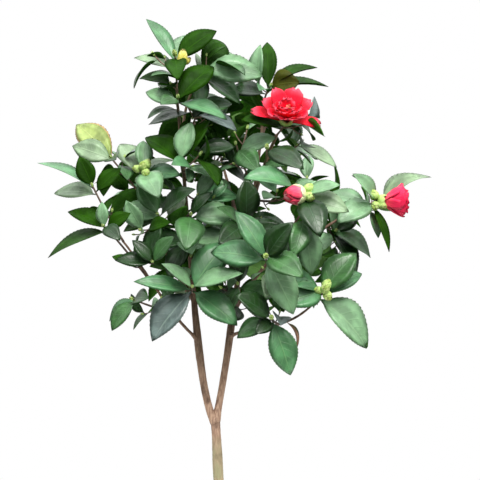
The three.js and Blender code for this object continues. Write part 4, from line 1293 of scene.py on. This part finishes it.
# %% Open flower
OUTER_PETALS = [
    # hour, lean from the axis, length, width, bend, cup
    (10.8, 0.60, 52, 30, 0.20, 0.5),
    (0.9, 0.60, 51, 36, 0.20, 0.5),
    (2.2, 0.95, 49, 35, 0.25, 0.6),
    (9.9, 0.92, 48, 35, 0.25, 0.6),
    (9.3, 1.25, 56, 29, 0.25, 0.3),
    (3.4, 1.38, 53, 29, 0.40, 0.3),
    (4.4, 0.98, 42, 38, 0.05, 0.8),
    (5.5, 0.95, 40, 38, 0.05, 0.8),
    (6.6, 0.95, 40, 38, 0.05, 0.8),
    (7.8, 0.98, 42, 38, 0.05, 0.8),
]
INNER_PETALS = [
    # first hour, count, lean, length, width, bend
    (3.9, 5, 0.80, 35, 33, -0.15),
    (4.6, 4, 0.58, 31, 27, -0.25),
    (10.2, 4, 0.50, 31, 25, -0.15),
]
CURLS = 9
PETAL_SHAPE = {"least": 1.6, "thick": -0.7, "thin_edge": 0.3, "fold": 0.0, "round": 0.05, "notch": 0.07}
draw = dice(404)


def petal(base, axis, hour, lean, length, width, bend, **shape):
    way = toward(axis, hour, lean)
    shape = {**PETAL_SHAPE, **shape, "phase": draw(0, 6.3)}
    return Blade(base, way, unit(across(axis, way)), length, width, bend, **shape)


bloom_spray = spray_with("bloom")
axis = bloom_spray.way
heart = bloom_spray.base + axis * 6
petals = []
for hour, lean, length, width, bend, cup in OUTER_PETALS:
    petals.append(petal(heart, axis, hour, lean, length, width, bend, cup=cup, wave=0.03, frill=0.02))
for whorl, (first, count, lean, length, width, bend) in enumerate(INNER_PETALS):
    for k in range(count):
        hour = first + k * 1.2 + draw(-0.2, 0.2)
        leaning, long = lean + draw(-0.06, 0.06), length * draw(0.94, 1.06)
        petals.append(petal(heart + axis * (1 + whorl), axis, hour, leaning, long, width, bend,
                            cup=0.9, wave=0.05, frill=0.06))
curls = []
for k in range(CURLS):
    hour, leaning = k * 12 / CURLS + draw(-0.3, 0.3), draw(0.12, 0.42)
    long, wide = draw(20, 25), draw(9, 14)
    curls.append(petal(heart + axis * 3, axis, hour, leaning, long, wide, -0.3,
                       cup=1.0, wave=0.06, frill=0.1))
for name, blades, look in [("bloom_petals", petals, bloom_red), ("bloom_heart", curls, heart_coral)]:
    bm = join_blades(wide_petal, blades, petal_outline)
    finish_piece(name, bm, [look], [bloom_spray.name])

# %% [markdown]
# ## Stamens
# A stamen is a hair-thin stalk with a grain of pollen on top. The stalks stand close together between the
# curled petals, so a short sweep of five sides and a small egg are enough.

# %% Stamens
STAMENS = 26
stamens = bmesh.new()
for k in range(STAMENS):
    way = toward(axis, draw(0, 12), draw(0.03, 0.22))
    foot = heart + toward(axis, draw(0, 12), math.pi / 2) * draw(0, 2.5)
    length = draw(15, 21)
    add_to(stamens, sweep(Branch([foot, foot + way * length * 0.5, foot + way * length], 0.45, 0.3), 3, 5))
    add_egg(stamens, foot + way * length, way, 0.9, 1.3, 6)
finish_piece("stamens", stamens, [stamen_yellow], [bloom_spray.name])

# %% [markdown]
# ## The half-open flower
# The flower at the far right is still a cup seen from its side, held in green scales. Its petals come from
# the same helper as those of the open flower, but stand more upright, in three whorls.

# %% Half-open flower
HALF_WAY = unit(np.array([0.98, 0.02, 0.02]))
HALF_PETALS = [
    # count, lean, length, width, bend
    (5, 0.74, 44, 42, -0.12),
    (5, 0.52, 43, 38, -0.2),
    (4, 0.30, 41, 30, -0.2),
]
half_spray = spray_with("half")
petals = []
for whorl, (count, lean, length, width, bend) in enumerate(HALF_PETALS):
    for k in range(count):
        hour = 12 * (k + 0.5 * (whorl % 2) + draw(-0.08, 0.08)) / count
        leaning, long = lean + draw(-0.03, 0.03), length * draw(0.96, 1.03)
        foot = half_spray.base + HALF_WAY * (4 + whorl)
        petals.append(petal(foot, HALF_WAY, hour, leaning, long, width, bend,
                            cup=0.8, wave=0.015, frill=0.03))
half_petals = join_blades(wide_petal, petals, petal_outline)
finish_piece("half_open_petals", half_petals, [half_red], [half_spray.name])

# %% [markdown]
# ## The opening bud
# The bud in front has split its scales. Its petals are rolled tightly round one another, so they are husks
# on an egg, each lying a little closer to it than the one before.

# %% Opening bud
ROLLED_PETALS = 6
opening_spray = spray_with("opening")
base, axis = opening_spray.base, opening_spray.way
rolled = []
for k in range(ROLLED_PETALS):
    middle, stand = 0.9 + k * 2.3, 0.3 + 0.22 * (ROLLED_PETALS - 1 - k)
    rolled.append(Husk(base, axis, 12.6, 17, -0.8, 0.985, middle, 1.25, stand, -0.4))
opening = join_blades(wide_petal, rolled, husk_outline)
add_egg(opening, base, axis, 12.0, 16.6, 20)
finish_piece("opening_bud_petals", opening, [bud_pink], [opening_spray.name])

# %% [markdown]
# ## Sepals
# Every flower sits in a cup of five overlapping scales. Under the two open flowers they are green, and
# under the opening bud they have turned cream.

# %% Sepals
SEPALS = {
    # piece: finish and its cups, each with spray, way it opens, radius, half length, how high it reaches
    "green_sepals": (scale_green, [(bloom_spray, bloom_spray.way, 10, 9, 0.6),
                                   (half_spray, HALF_WAY, 9, 11, 0.6)]),
    "cream_sepals": (scale_cream, [(opening_spray, opening_spray.way, 13.2, 17, 0.16)]),
}
SEPAL_FOOT = -0.98
for name, (look, holding) in SEPALS.items():
    cups = []
    for spray, way, radius, half, high in holding:
        for k in range(5):
            top = SEPAL_FOOT + (high - SEPAL_FOOT) * (0.82 + 0.18 * math.cos(k * 2.5))
            stand = 1.0 + 0.25 * (k % 2)
            cups.append(Husk(spray.base, way, radius, half, SEPAL_FOOT, top, k * 1.26, 0.85, stand, -0.6))
    sepals = join_blades(wide_petal, cups, husk_outline)
    finish_piece(name, sepals, [look], [spray.name for spray, *_ in holding])

# %% [markdown]
# ## Floor
# A round pale board under the plant catches its shadow. It is part of the studio and not of the plant.

# %% Floor
FLOOR_RADIUS, FLOOR_DEPTH = 0.43, 0.012
floor_bm = bmesh.new()
bmesh.ops.create_circle(floor_bm, cap_ends=True, segments=96, radius=FLOOR_RADIUS)
made = bmesh.ops.extrude_face_region(floor_bm, geom=floor_bm.faces[:])["geom"]
lower = [g for g in made if isinstance(g, bmesh.types.BMVert)]
bmesh.ops.translate(floor_bm, vec=(0, 0, -FLOOR_DEPTH), verts=lower)
bmesh.ops.recalc_face_normals(floor_bm, faces=floor_bm.faces)
floor_mesh = bpy.data.meshes.new("floor")
floor_bm.to_mesh(floor_mesh)
floor_bm.free()
floor_look, floor_shader = new_look("floor_board", specular_ior_level=0.2)
floor_grain = grain(floor_look, place_on_plant(floor_look), 40.0)
floor_colour = mix(floor_look, floor_grain, (0.78, 0.78, 0.76), (0.84, 0.84, 0.83))
finish_look(floor_look, floor_shader, floor_colour, step(floor_look, floor_grain, 0.3, 0.7, 0.6, 0.75))
floor_mesh.materials.append(floor_look)
floor = add_object("floor", floor_mesh)
print("floor radius, m:", FLOOR_RADIUS)
